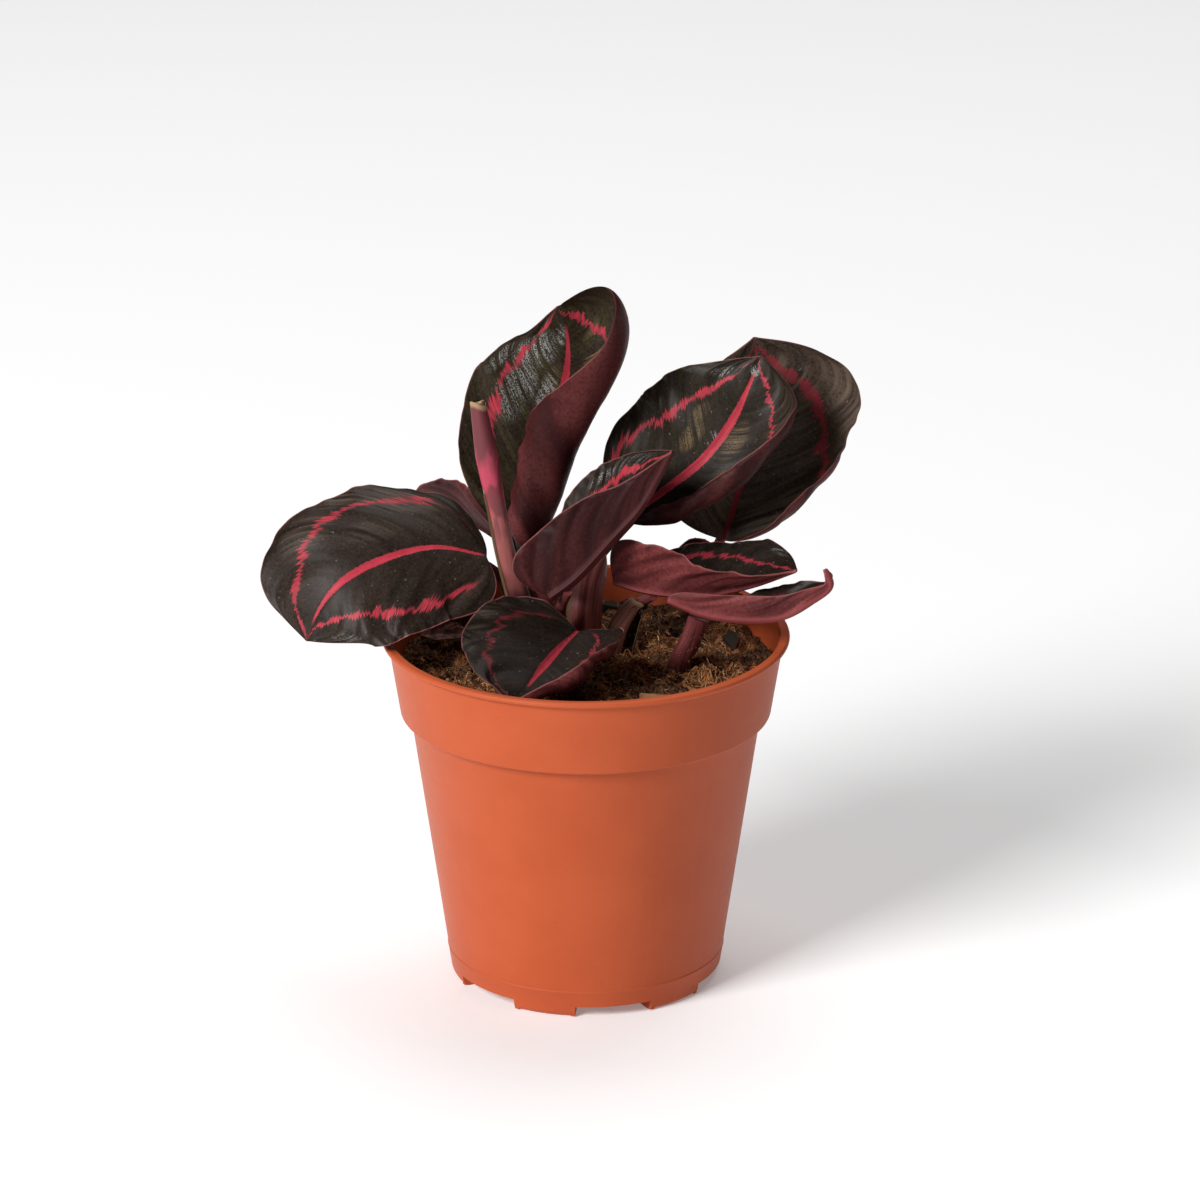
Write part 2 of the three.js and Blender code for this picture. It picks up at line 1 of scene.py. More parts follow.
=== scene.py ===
# %% [markdown]
# # A rose-painted calathea in its nursery pot
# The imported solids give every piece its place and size. This file dresses them: each leaf is made again with
# its veins, its painted ring and its maroon underside, the stalks get their sheaths and hairs, the soil its
# peat, bark and fibres, and the pot its moulded plastic. Lengths are written in millimetres and turned into
# metres once, when a mesh is made.

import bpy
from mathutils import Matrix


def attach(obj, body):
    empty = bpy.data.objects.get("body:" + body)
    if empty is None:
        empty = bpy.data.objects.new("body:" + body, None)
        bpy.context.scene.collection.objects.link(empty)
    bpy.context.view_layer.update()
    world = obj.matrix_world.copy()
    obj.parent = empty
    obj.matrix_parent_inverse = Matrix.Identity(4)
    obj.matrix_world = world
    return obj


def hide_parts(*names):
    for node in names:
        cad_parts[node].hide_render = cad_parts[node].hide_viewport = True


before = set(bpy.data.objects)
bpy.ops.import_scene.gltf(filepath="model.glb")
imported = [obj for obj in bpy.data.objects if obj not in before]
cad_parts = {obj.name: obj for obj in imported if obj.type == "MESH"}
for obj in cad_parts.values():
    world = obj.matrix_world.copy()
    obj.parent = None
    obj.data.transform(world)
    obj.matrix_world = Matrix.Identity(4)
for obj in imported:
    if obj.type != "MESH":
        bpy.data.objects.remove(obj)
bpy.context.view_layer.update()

# %% Tools of the trade
import math

import bpy
import numpy as np
from mathutils import Vector

MM = 0.001
BODY = "root"
print("Blender", bpy.app.version_string, "lengths in units of", MM, "m")

# %% [markdown]
# ## Curves that bend like a stalk
# A stalk or a midrib bends smoothly through a few points. A Catmull-Rom curve passes through all of them and
# keeps its spacing calm where they crowd. Blender's own Bezier curves need two handles for each point, which
# is more to place by hand, so the curve is worked out here and sampled evenly along its length.


# %% Directions, bows and soft steps
def unit(vectors):
    """The same directions, each with length one."""
    return vectors / np.linalg.norm(vectors, axis=-1, keepdims=True)


def along(values, t):
    """The value at t of a smooth curve through a value at the base, the middle and the tip."""
    base, middle, tip = values
    return base * (1 - t) * (1 - 2 * t) + middle * 4 * t * (1 - t) + tip * t * (2 * t - 1)


def smooth(value, low, high):
    """0 below low, 1 above high and a soft step between them."""
    x = np.clip((value - low) / (high - low), 0, 1)
    return x * x * (3 - 2 * x)


print("middle of a bow from 0 over 1 to 0:", along((0, 1, 0), 0.5), "and of a soft step:", smooth(0.5, 0, 1))

# %% A smooth curve through points
CURVE_STEPS = 80  # from each point to the next


def spline(points, shares):
    """Places and directions at the given shares of the length of the curve through the points."""
    points = np.array(points, float)
    before, after = 2 * points[0] - points[1], 2 * points[-1] - points[-2]
    knots = np.vstack([before, points, after])
    pieces = []
    w = np.linspace(0, 1, CURVE_STEPS, endpoint=False)[:, None]
    for p0, p1, p2, p3 in zip(knots, knots[1:], knots[2:], knots[3:]):
        d0, d1, d2 = (np.linalg.norm(b - a) ** 0.5 for a, b in ((p0, p1), (p1, p2), (p2, p3)))
        leave = ((p1 - p0) / d0 - (p2 - p0) / (d0 + d1) + (p2 - p1) / d1) * d1
        reach = ((p2 - p1) / d1 - (p3 - p1) / (d1 + d2) + (p3 - p2) / d2) * d1
        cube = 2 * (p1 - p2) + leave + reach
        square = 3 * (p2 - p1) - 2 * leave - reach
        pieces.append(p1 + w * (leave + w * (square + w * cube)))
    fine = np.vstack([*pieces, points[-1:]])
    length = np.concatenate([[0], np.cumsum(np.linalg.norm(np.diff(fine, axis=0), axis=1))])
    heading = np.gradient(fine, length, axis=0)
    where = np.asarray(shares) * length[-1]
    place = np.stack([np.interp(where, length, fine[:, k]) for k in range(3)], axis=-1)
    heading = np.stack([np.interp(where, length, heading[:, k]) for k in range(3)], axis=-1)
    return place, unit(heading)


print("half way along a bend:", spline([(0, 0, 0), (1, 0, 1), (2, 0, 0)], [0.5])[0].round(2).tolist())

# %% [markdown]
# ## The leaves' shapes
# Each leaf is a midrib with a blade on both sides. Every half has its own width, and where along the midrib it
# is widest. It rises from the midrib at one angle and curls on towards its margin, which is how the young
# leaves of this plant stay half rolled. The same few values shape the solids, so the fine leaves lie in them.

# %% Midribs, faces and halves of the leaves
LEAVES = {
    "left": dict(
        rib=[
            (-25.5, 3.5, 113), (-39, 2, 115.8), (-53, -2, 113.5),
            (-63, -5, 108.5), (-68.5, -6.5, 102), (-72, -8, 93.7),
        ],
        face=[(-0.05, -0.72, 0.7), (-0.45, -0.8, 0.4)],
        left=dict(width=21.8, widest=0.48, full=(0.4, 3), rise=(5, 0, 0), curl=(-10, -10, 0), lobe=12),
        right=dict(width=25.2, widest=0.58, full=(0.6, 2.4), rise=(0, 5, 0), curl=(-50, -35, -10), lobe=3),
        wave=dict(height=0.5, count=4, phase=2.2),
        stem=[(-20, 9, 84), (-20, 8.5, 96), (-21.5, 7, 105)],
        radius=(2.2, 1.7, 1.2),
    ),
    "tall": dict(
        rib=[
            (-15.5, 14, 111.5), (-12, 19.5, 129), (-8, 22.5, 144.5),
            (-5, 23, 156.5), (-4.8, 22, 167), (-7.2, 20, 175),
        ],
        face=[(0.05, -0.97, 0.2), (0, -1, 0.1)],
        left=dict(
            width=24.3, widest=0.4, full=(0.75, 1.9),
            rise=(10, 5, -10), curl=(30, 10, 0), shoulder=3,
        ),
        right=dict(
            width=34.5, widest=0.55, full=(0.45, 4.2),
            rise=(10, -5, -22), curl=(235, 268, 85), shoulder=22,
        ),
        wave=dict(height=0.2, count=3, phase=2),
        stem=[(-8, 14, 84), (-11, 15.5, 98), (-14.3, 16.8, 106)],
        radius=(2.4, 1.8, 1.3),
    ),
    "centre": dict(
        rib=[(-9.5, -8.6, 105.5), (-2.5, -8.8, 111), (7.5, -9, 122.5), (14, -9, 130.2), (22, -8, 145.3)],
        face=[(-0.7, 0.3, 0.7), (-0.75, 0.2, 0.6)],
        left=dict(width=20.5, widest=0.62, full=(0.7, 1.4), rise=(60, 50, 30), curl=(20, 10, 0)),
        right=dict(width=15.5, widest=0.2, full=(0.35, 0.95), rise=(76, 80, 70), curl=(10, 10, 0), lobe=8),
        wave=dict(height=0.2, count=3, phase=1),
        stem=[(-7.5, 2.5, 84), (-6.5, 0.5, 94), (-6.5, -3, 100.5)],
        radius=(2.2, 1.7, 1.2), seat=0.1,
    ),
    "right": dict(
        rib=[
            (10, 16, 118.5), (19.5, 14, 126.5), (30, 12, 136),
            (37, 12, 145.5), (41, 12, 154), (45, 14, 163.5),
        ],
        face=[(-0.3, -0.8, 0.5), (-0.2, -0.9, 0.3)],
        left=dict(width=23.5, widest=0.42, full=(0.45, 1.9), rise=(10, 5, 0), curl=(20, -10, -10)),
        right=dict(width=22.5, widest=0.5, full=(0.7, 3.2), rise=(5, 0, 0), curl=(280, 215, 60), bend=2.5),
        wave=dict(height=0.6, count=3, phase=0),
        stem=[(-1.5, 8, 84), (-1, 8, 92), (-0.8, 8.5, 98), (1, 12, 106), (5.5, 17.4, 110.6)],
        radius=(3.4, 4.6, 5.4, 5.2, 1.9, 1.0),
    ),
    "far_right": dict(
        rib=[
            (36, 18, 112), (38, 20, 118.5), (41, 23, 128),
            (43.5, 25, 143), (44.5, 25, 156), (43.5, 22, 166),
        ],
        face=[(0, -0.95, 0.25), (0.1, -1, -0.1)],
        left=dict(width=24, widest=0.45, full=(0.4, 1.3), rise=(10, 5, 0), curl=(10, 0, 0)),
        right=dict(width=32.5, widest=0.6, full=(0.62, 1.5), rise=(5, 5, 0), curl=(150, 120, 0), bend=2.2),
        wave=dict(height=0.8, count=3, phase=1.5),
        stem=[(27.5, 21, 84), (29, 22, 96), (33, 21.5, 106)],
        radius=(2.2, 1.7, 1.2),
    ),
    "low_upper": dict(
        rib=[(7, 2, 106.5), (16.5, -1, 104.8), (29.5, -4, 105), (42, -7, 108.5), (54, -10, 114)],
        face=[(-0.2, -0.2, 0.95), (-0.2, 0.1, 0.95)],
        left=dict(width=16.5, widest=0.7, full=(0.7, 2.2), rise=(40, 30, 10), curl=(20, 10, 0)),
        right=dict(width=15.5, widest=0.2, full=(0.4, 0.9), rise=(85, 60, 20), curl=(20, 10, 0), lobe=5),
        wave=dict(height=0.5, count=3, phase=0.5),
        stem=[(8.5, 10, 84), (10, 10, 91), (13.5, 7.5, 98), (15.5, 3, 101)],
        radius=(2.8, 4.1, 4.1, 2.4, 1.2), seat=0.22,
    ),
    "low_lower": dict(
        rib=[
            (21, -9, 105.5), (29.5, -11, 102.5), (39.5, -13, 101.5), (50, -14, 102.5),
            (57.5, -15, 107), (62.3, -15.5, 111.5), (60.8, -15, 115.8),
        ],
        face=[(-0.2, 0.3, 0.95), (-0.6, 0.3, 0.7)],
        left=dict(width=10.5, widest=0.6, full=(1.4, 1), rise=(20, 44, 15), curl=(10, 10, 0)),
        right=dict(width=6.4, widest=0.45, full=(0.5, 1.1), rise=(60, 65, 40), curl=(20, 20, 20)),
        wave=dict(height=0.3, count=3, phase=0),
        stem=[(23.5, -2, 83), (25.5, -6, 90), (27.5, -9, 95.5)],
        radius=(2, 2.8, 2.7), seat=0.18,
    ),
    "front": dict(
        rib=[(-2, -10, 97.3), (-6.5, -19, 96), (-11.5, -29, 93.5), (-15.5, -38, 91.5), (-18.5, -46, 91.5)],
        face=[(0.15, -0.25, 0.95), (0.15, -0.1, 0.95)],
        left=dict(
            width=20.5, widest=0.45, full=(0.5, 1.5),
            rise=(20, 5, 0), curl=(0, 120, 150), bend=2.5, lobe=9,
        ),
        right=dict(width=22.3, widest=0.45, full=(0.5, 1.6), rise=(15, 15, 5), curl=(10, 5, 0), lobe=5),
        wave=dict(height=0.5, count=3, phase=0),
        stem=[(-0.5, -1, 84), (-1, -3, 89)],
        radius=(1.8, 1.4, 1),
    ),
    "back_left": dict(
        rib=[(-18, 27, 106), (-27, 34, 110), (-37, 41, 112.5), (-48, 48, 111)],
        face=[(0, 0, 1), (-0.2, 0.2, 0.9)],
        left=dict(width=17, widest=0.45, full=(0.4, 0.8), rise=(50, 50, 40), curl=(20, 10, 0)),
        right=dict(width=18, widest=0.45, full=(0.6, 1.3), rise=(20, 10, 0), curl=(0, -10, -10)),
        wave=dict(height=0.6, count=3, phase=0),
        stem=[(-12, 21, 84), (-13, 23, 94), (-16, 25, 101)],
        radius=(2, 1.6, 1.1),
    ),
    "small_back": dict(
        rib=[(33, 31, 99), (30, 32, 101.5), (27, 33, 103), (24, 34, 104)],
        face=[(0.3, 0.2, 0.9), (0.3, 0.2, 0.9)],
        left=dict(width=7, widest=0.45, full=(0.6, 1.3), rise=(50, 50, 40), curl=(20, 20, 0)),
        right=dict(width=7, widest=0.45, full=(0.6, 1.3), rise=(20, 20, 20), curl=(10, 10, 0)),
        wave=dict(height=0.15, count=2, phase=0),
        stem=[(29, 30, 84), (31, 30.5, 92)],
        radius=(1.5, 1.3, 0.9),
    ),
}
WITHERED = dict(
    rib=[(-43, 13, 87.8), (-37, 13, 88), (-30, 13, 88)],
    face=[(0, -0.3, 1), (0, -0.3, 1)],
    left=dict(width=3.5, widest=0.5, full=(0.6, 1.3), rise=(20, 30, 20), curl=(0, 20, 0)),
    right=dict(width=3, widest=0.5, full=(0.6, 1.3), rise=(10, 10, 10), curl=(0, -10, 0)),
    wave=dict(height=0.3, count=2, phase=0),
)
print("leaves", len(LEAVES), "and a withered one")

# %% [markdown]
# ## From values to a blade
# The blade is a grid: rows run along the midrib and columns from margin to margin. Each row is an arc in the
# plane across the midrib, so a curl is a bend and not a fold. A cloth simulation could curl a flat leaf as
# well, but then the curl would come out somewhere else each time a value changed.

# %% Outline, midrib and rows of a blade
BLADE_TIP = 0.45  # half width at the very ends
ROW_STEPS = 48  # short straight steps that make up a bent row


def outline(t, half):
    """Half width of a blade as a share of its widest: round at the base, running out to a point."""
    widest, (base, tip) = half["widest"], half["full"]
    growing = np.sin(np.pi / 2 * np.clip(t / widest, 0, 1) ** base)
    closing = np.cos(np.pi / 2 * np.clip((t - widest) / (1 - widest), 0, 1) ** tip)
    return np.where(t < widest, growing, closing)


def rib_frame(leaf, t):
    """The midrib at t, its heading, and the directions across it and up from its face."""
    place, heading = spline(leaf["rib"], t)
    base, tip = (unit(np.array(face, float)) for face in leaf["face"])
    across = unit(np.cross(heading, base + (tip - base) * t[:, None]))
    return place, heading, across, unit(np.cross(across, heading))


def bent_row(t, reach, half):
    """Way out and up, in widths of the half, and the lean, at each reach from the midrib to its margin."""
    rise = np.radians(along(half["rise"], t))[:, None]
    curl = np.radians(along(half["curl"], t))[:, None]
    bend = half.get("bend", 1)
    fine = (np.arange(ROW_STEPS) + 0.5) / ROW_STEPS
    lean = rise + curl * fine**bend
    ends = np.arange(ROW_STEPS + 1) / ROW_STEPS
    walks = []
    for steps in (np.cos(lean), np.sin(lean)):
        walked = np.hstack([np.zeros((len(t), 1)), np.cumsum(steps, axis=1) / ROW_STEPS])
        walks.append(np.stack([np.interp(reach, ends, row) for row in walked]))
    return walks[0], walks[1], rise + curl * reach**bend


halves = [LEAVES["left"][side] for side in ("left", "right")]
middles = [round(half["width"] * float(outline(0.5, half)), 1) for half in halves]
print("widths of the left leaf's halves at its middle:", middles)

# %% The blade's surface
END_REACH = 0.4  # share of the midrib along which lobes hang back or shoulders stand forward


def blade_surface(leaf, t, share):
    """Points, facings and half widths of the upper side for every t and share of the way to a margin."""
    place, heading, across, up = (v[:, None, :] for v in rib_frame(leaf, t))
    reach = np.abs(share)
    point = np.zeros((len(t), len(share), 3))
    facing, width = np.zeros_like(point), np.zeros(point.shape[:2])
    wave = leaf["wave"]
    for sign, half in ((-1, leaf["left"]), (1, leaf["right"])):
        here = share < 0 if sign < 0 else share >= 0
        fullness = outline(t, half)[:, None]
        broad = np.maximum(half["width"] * fullness, BLADE_TIP)
        out, high, lean = bent_row(t, reach[here], half)
        lean = np.where(share[here] == 0, 0, lean)
        face = -sign * np.sin(lean)[..., None] * across + np.cos(lean)[..., None] * up
        swing = np.sin(2 * np.pi * wave["count"] * t[:, None] + wave["phase"] + np.sign(share[here]))
        base = half.get("lobe", 0) * np.clip(1 - t / END_REACH, 0, 1) ** 2
        tip = half.get("shoulder", 0) * np.clip(1 - (1 - t) / END_REACH, 0, 1) ** 2
        ahead = (tip - base)[:, None] * fullness * reach[here] ** 2
        spot = place + (sign * broad * out)[..., None] * across + (broad * high)[..., None] * up
        spot = spot + (wave["height"] * reach[here] ** 2 * swing * fullness)[..., None] * face
        point[:, here] = spot + ahead[..., None] * heading
        facing[:, here] = face
        width[:, here] = broad
    return point, facing, width


tip_of_left = blade_surface(LEAVES["left"], np.array([1.0]), np.array([0.0]))[0]
print("the left leaf ends at", tip_of_left[0, 0].round(1).tolist())

# %% [markdown]
# ## Veins and a living margin
# Side veins leave the midrib at a narrow angle and sweep out towards the tip, and the blade puckers between
# them. They could be a bump in the material only, but real relief also breaks up the outline and the
# reflections, so each vein is a shallow furrow in the mesh and the material draws only its colour.

# %% Relief of the side veins and ripples of the margin
VEINS = 15  # side veins along the length of a half
VEIN_LAG = 0.42  # how far towards the tip a vein has run when it meets the margin
VEIN_BEND = 1.35
VEIN_DEPTH = 0.07
PUCKER = 0.8  # swell of the blade over several veins
PUCKER_WAVES = (2.3, 4.1, 6.7)
RIPPLE = 2.75  # of the margin
RIPPLE_WAVES = (7, 11, 17)
GROOVE, GROOVE_WIDTH = 0.18, 0.8  # the midrib lies a little sunk above
FULL_RELIEF_WIDTH = 12  # a half narrower than this is calmer


def vein_place(t, reach):
    """Where on the midrib the vein through this place of the blade began."""
    return t - VEIN_LAG * reach**VEIN_BEND


def relief(t, share, width, seed):
    """Height of the blade's small forms above its smooth surface."""
    rng = np.random.default_rng(seed)
    reach, side = np.abs(share), np.sign(share)
    start = vein_place(t, reach)
    furrow = np.abs(np.sin(np.pi * VEINS * start)) ** 0.5
    inside = smooth(reach, 0.04, 0.2) * (1 - smooth(reach, 0.85, 1))
    height = VEIN_DEPTH * (furrow - 0.7) * inside
    for count in PUCKER_WAVES:
        phase, lean = rng.uniform(0, 2 * np.pi, 2)
        wave = np.sin(2 * np.pi * count * start + phase + side * lean)
        height = height + PUCKER / count * wave * smooth(reach, 0.1, 0.6)
    for count in RIPPLE_WAVES:
        phase = rng.uniform(0, 2 * np.pi, 2)[(side > 0).astype(int)]
        wave = np.sin(2 * np.pi * count * t + phase)
        height = height + RIPPLE / count * wave * smooth(reach, 0.75, 1) / 2
    ends = smooth(t, 0, 0.06) * (1 - smooth(t, 0.95, 1))
    calm = np.clip(width / FULL_RELIEF_WIDTH, 0, 1)
    return height * ends * calm - GROOVE * np.exp(-((share * width / GROOVE_WIDTH) ** 2))


print("a side vein lags behind by", VEIN_LAG, "of the midrib;", VEINS, "on each half")

# %% [markdown]
# ## One closed leaf
# The lower side is the upper side moved in by the blade's thickness, which runs out to nothing at the margin,
# so both share their border points and the leaf is one closed skin. The solidify modifier would do this too,
# but the keel under the midrib needs its own depth. Two texture maps go with the mesh: one holds the share of
# the way along and across, the other the real distance to the midrib and to the margin.

# %% Building meshes from grids of points

def quads(rows, columns, start=0, turned=False):
    """Corner numbers of the faces of a grid of points."""
    first = (np.arange(rows - 1)[:, None] * columns + np.arange(columns - 1)[None, :]).ravel() + start
    corners = [first, first + 1, first + columns + 1, first + columns]
    return np.stack(corners[::-1] if turned else corners, axis=-1)


def make_mesh(name, points, faces, maps=None, finishes=(), finish_of_face=None, crease=50):
    """A smooth mesh from points in millimetres; maps holds a pair of values for each point."""
    mesh = bpy.data.meshes.new(name)
    mesh.from_pydata((np.asarray(points) * MM).tolist(), [], [list(map(int, face)) for face in faces])
    corner_points = np.empty(len(mesh.loops), int)
    mesh.loops.foreach_get("vertex_index", corner_points)
    for map_name, values in (maps or {}).items():
        layer = mesh.uv_layers.new(name=map_name)
        layer.data.foreach_set("uv", np.asarray(values, np.float32)[corner_points].ravel())
    for finish in finishes:
        mesh.materials.append(finish)
    if finish_of_face is not None:
        mesh.polygons.foreach_set("material_index", np.asarray(finish_of_face, np.int32))
    mesh.polygons.foreach_set("use_smooth", np.ones(len(mesh.polygons), bool))
    mesh.set_sharp_from_angle(angle=math.radians(crease))
    mesh.update()
    return mesh


def closed_skin(outer, inner, maps, turned=False):
    """Points, faces, maps and finish numbers of two grids that share their border."""
    rows, columns = outer.shape[:2]
    number = np.arange(rows * columns).reshape(rows, columns)
    under = number + rows * columns
    under[0], under[-1], under[:, 0], under[:, -1] = number[0], number[-1], number[:, 0], number[:, -1]
    first = quads(rows, columns, turned=turned)
    second = under.ravel()[quads(rows, columns, turned=not turned)]
    kept, back = np.unique(np.concatenate([first, second]), return_inverse=True)
    points = np.vstack([outer.reshape(-1, 3), inner.reshape(-1, 3)])[kept]
    maps = {key: np.vstack([pairs.reshape(-1, 2)] * 2)[kept] for key, pairs in maps.items()}
    return points, back.reshape(-1, 4), maps, np.repeat([0, 1], len(first))


def place(name, mesh, node, slot):
    """Adds a piece to the scene where its solid is, and hides the solid."""
    piece = bpy.data.objects.new(name, mesh)
    bpy.context.scene.collection.objects.link(piece)
    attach(piece, BODY)
    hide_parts(node)
    return piece


print("a grid of 3 by 3 points has", len(quads(3, 3)), "faces")

# %% A leaf blade
GRID_MAP = "LeafGrid"  # share along the midrib and across
SIZE_MAP = "LeafSize"  # distance to the midrib and to the margin, in tenths of a metre
ROWS = 150
HALF_COLUMNS = 42
THICKNESS = 0.4
KEEL, KEEL_WIDTH = 0.75, 0.9  # how far the midrib stands out below, and how broadly


def blade_mesh(name, leaf, seed, upper, lower, keel=KEEL):
    even = np.linspace(0, 1, ROWS + 1)
    t = 0.5 * even + 0.5 * (0.5 - 0.5 * np.cos(np.pi * even))
    half = np.linspace(0, 1, HALF_COLUMNS + 1) ** 1.15
    share = np.concatenate([-half[:0:-1], half])
    point, facing, width = blade_surface(leaf, t, share)
    grid_t, grid_share = np.meshgrid(t, share, indexing="ij")
    across = grid_share * width
    top = point + relief(grid_t, grid_share, width, seed)[..., None] * facing
    side_taper = np.clip(1 - np.abs(grid_share) ** 24, 0, 1)
    end_taper = np.clip(1 - np.abs(2 * grid_t - 1) ** 80, 0, 1)
    rib = np.exp(-((across / KEEL_WIDTH) ** 2)) * (1 - 0.6 * grid_t)
    depth = (THICKNESS + keel * rib) * np.sqrt(side_taper * end_taper)
    grid_map = np.stack([grid_t, 0.5 + 0.5 * grid_share], axis=-1)
    size_map = np.stack([0.5 + across / 100, (width - np.abs(across)) / 100], axis=-1)
    maps = {GRID_MAP: grid_map, SIZE_MAP: size_map}
    points, faces, maps, finish_of_face = closed_skin(top, top - depth[..., None] * facing, maps)
    return make_mesh(name, points, faces, maps, (upper, lower), finish_of_face)


print("points on each side of a blade", (ROWS + 1) * (2 * HALF_COLUMNS + 1))

# %% [markdown]
# ## Mixing colours with nodes
# Each finish is a small net of shader nodes. Written out one by one they would fill pages, so a few short
# helpers add a node, join its inputs and give back its output. A painted image would be quicker to look up,
# but a pattern worked out from the leaf's own map stays sharp at any size.

# %% A finish and its inputs
def finish_named(name):
    """A new material with its principled shader."""
    material = bpy.data.materials.new(name)
    material.use_nodes = True
    return material, material.node_tree, material.node_tree.nodes["Principled BSDF"]


def joined(tree, socket, value):
    """Links a socket to a socket, or sets a colour or a number on it."""
    if isinstance(value, bpy.types.NodeSocket):
        tree.links.new(value, socket)
    elif isinstance(value, (tuple, list)) and socket.type == "RGBA":
        socket.default_value = (*value, 1)
    else:
        socket.default_value = value


def mapped(tree, name):
    """The two values of a texture map."""
    node = tree.nodes.new("ShaderNodeUVMap")
    node.uv_map = name
    split = tree.nodes.new("ShaderNodeSeparateXYZ")
    tree.links.new(node.outputs[0], split.inputs[0])
    return split.outputs[0], split.outputs[1]


def object_place(tree):
    return tree.nodes.new("ShaderNodeTexCoord").outputs["Object"]


print("inputs of the principled shader:", len(finish_named("sample")[2].inputs))
bpy.data.materials.remove(bpy.data.materials["sample"])


# %% Sums, steps and mixes
def calc(tree, operation, *values):
    node = tree.nodes.new("ShaderNodeMath")
    node.operation = operation
    for socket, value in zip(node.inputs, values):
        joined(tree, socket, value)
    return node.outputs[0]


def step(tree, value, low, high):
    """0 where value is at low and 1 where it is at high, softly between them."""
    node = tree.nodes.new("ShaderNodeMapRange")
    node.interpolation_type = "SMOOTHSTEP"
    joined(tree, node.inputs["Value"], value)
    joined(tree, node.inputs["From Min"], low)
    joined(tree, node.inputs["From Max"], high)
    return node.outputs["Result"]


def tinted(tree, share, first, second):
    """The first colour where share is 0, the second where it is 1."""
    node = tree.nodes.new("ShaderNodeMix")
    node.data_type = "RGBA"
    joined(tree, node.inputs[0], share)
    joined(tree, node.inputs[6], first)
    joined(tree, node.inputs[7], second)
    return node.outputs[2]


def over(tree, colour, tone, share, strength):
    """Lays a tone over a colour, as far as the share times the strength says."""
    return tinted(tree, calc(tree, "MULTIPLY", share, strength), colour, tone)


def scaled(tone, factor):
    return tuple(part * factor for part in tone)


print("a tone at half its strength:", scaled((0.4, 0.2, 0.1), 0.5))


# %% Noise and the last touches of a finish
def triple(tree, x, y, z):
    node = tree.nodes.new("ShaderNodeCombineXYZ")
    for socket, value in zip(node.inputs, (x, y, z)):
        joined(tree, socket, value)
    return node.outputs[0]


def cloud(tree, vector, scale, detail=3.0, roughness=0.55):
    """Soft noise about one half."""
    node = tree.nodes.new("ShaderNodeTexNoise")
    node.inputs["Scale"].default_value = scale
    node.inputs["Detail"].default_value = detail
    node.inputs["Roughness"].default_value = roughness
    tree.links.new(vector, node.inputs["Vector"])
    return node.outputs["Fac"]


def stretched(tree, first, first_scale, second, second_scale, seed, detail=3.0):
    """Noise over two values of a map, fine along the one and coarse along the other."""
    x, y = calc(tree, "MULTIPLY", first, first_scale), calc(tree, "MULTIPLY", second, second_scale)
    return cloud(tree, triple(tree, x, y, seed), 1.0, detail)


def dressed(tree, shader, colour, roughness, shine, height, strength, depth):
    """Joins colour, roughness and shine to the shader, and a fine relief of a depth in millimetres."""
    tree.links.new(colour, shader.inputs["Base Color"])
    joined(tree, shader.inputs["Roughness"], roughness)
    shader.inputs["Specular IOR Level"].default_value = shine
    node = tree.nodes.new("ShaderNodeBump")
    node.inputs["Strength"].default_value = strength
    node.inputs["Distance"].default_value = depth * MM
    tree.links.new(height, node.inputs["Height"])
    tree.links.new(node.outputs[0], shader.inputs["Normal"])


print("finishes so far", len(bpy.data.materials))

# %% [markdown]
# ## Reading a leaf's maps
# Everything painted on a leaf follows its own grid: how far along the midrib, on which side, how far out, and
# which side vein runs through the place. The vein is the same sum that furrowed the mesh. Noise that is drawn
# out along the veins then gives fibres, streaks and patches without any painted image.

# %% Where on the leaf we are
def leaf_reading(tree):
    """The values that everything painted on a leaf is worked out from."""
    t, v = mapped(tree, GRID_MAP)
    across_map, edge_map = mapped(tree, SIZE_MAP)
    side = calc(tree, "MULTIPLY_ADD", v, 2.0, -1.0)
    reach = calc(tree, "ABSOLUTE", side)
    across = calc(tree, "ABSOLUTE", calc(tree, "MULTIPLY_ADD", across_map, 100.0, -50.0))
    lag = calc(tree, "MULTIPLY", calc(tree, "POWER", reach, VEIN_BEND), VEIN_LAG)
    return dict(
        t=t, side=side, reach=reach, across=across, edge=calc(tree, "MULTIPLY", edge_map, 100.0),
        right=calc(tree, "GREATER_THAN", side, 0.0), vein=calc(tree, "SUBTRACT", t, lag),
    )


def streaks(tree, leaf, along_vein, out, seed, detail=3.0):
    """Noise drawn out along the side veins."""
    return stretched(tree, leaf["vein"], along_vein, leaf["side"], out, seed, detail)


print("a leaf has", len(leaf_reading(finish_named("sample")[1])), "values to paint by")
bpy.data.materials.remove(bpy.data.materials["sample"])


# %% Curves, halves, jumps and patches
def bowed(tree, t, values):
    """A socket with the curve through three values that along() draws."""
    base, middle, tip = values
    bend, climb = 2 * base - 4 * middle + 2 * tip, 4 * middle - 3 * base - tip
    return calc(tree, "MULTIPLY_ADD", calc(tree, "MULTIPLY_ADD", t, bend, climb), t, base)


def by_half(tree, leaf, left, right):
    """One value on the left half and another on the right."""
    return calc(tree, "MULTIPLY_ADD", leaf["right"], calc(tree, "SUBTRACT", right, left), left)


def jumps(tree, leaf, seed):
    """A value from 0 to 1 that jumps from one side vein to the next."""
    sector = calc(tree, "FLOOR", calc(tree, "MULTIPLY", leaf["vein"], float(VEINS)))
    node = tree.nodes.new("ShaderNodeTexWhiteNoise")
    tree.links.new(triple(tree, sector, leaf["right"], seed), node.inputs["Vector"])
    return node.outputs["Value"]


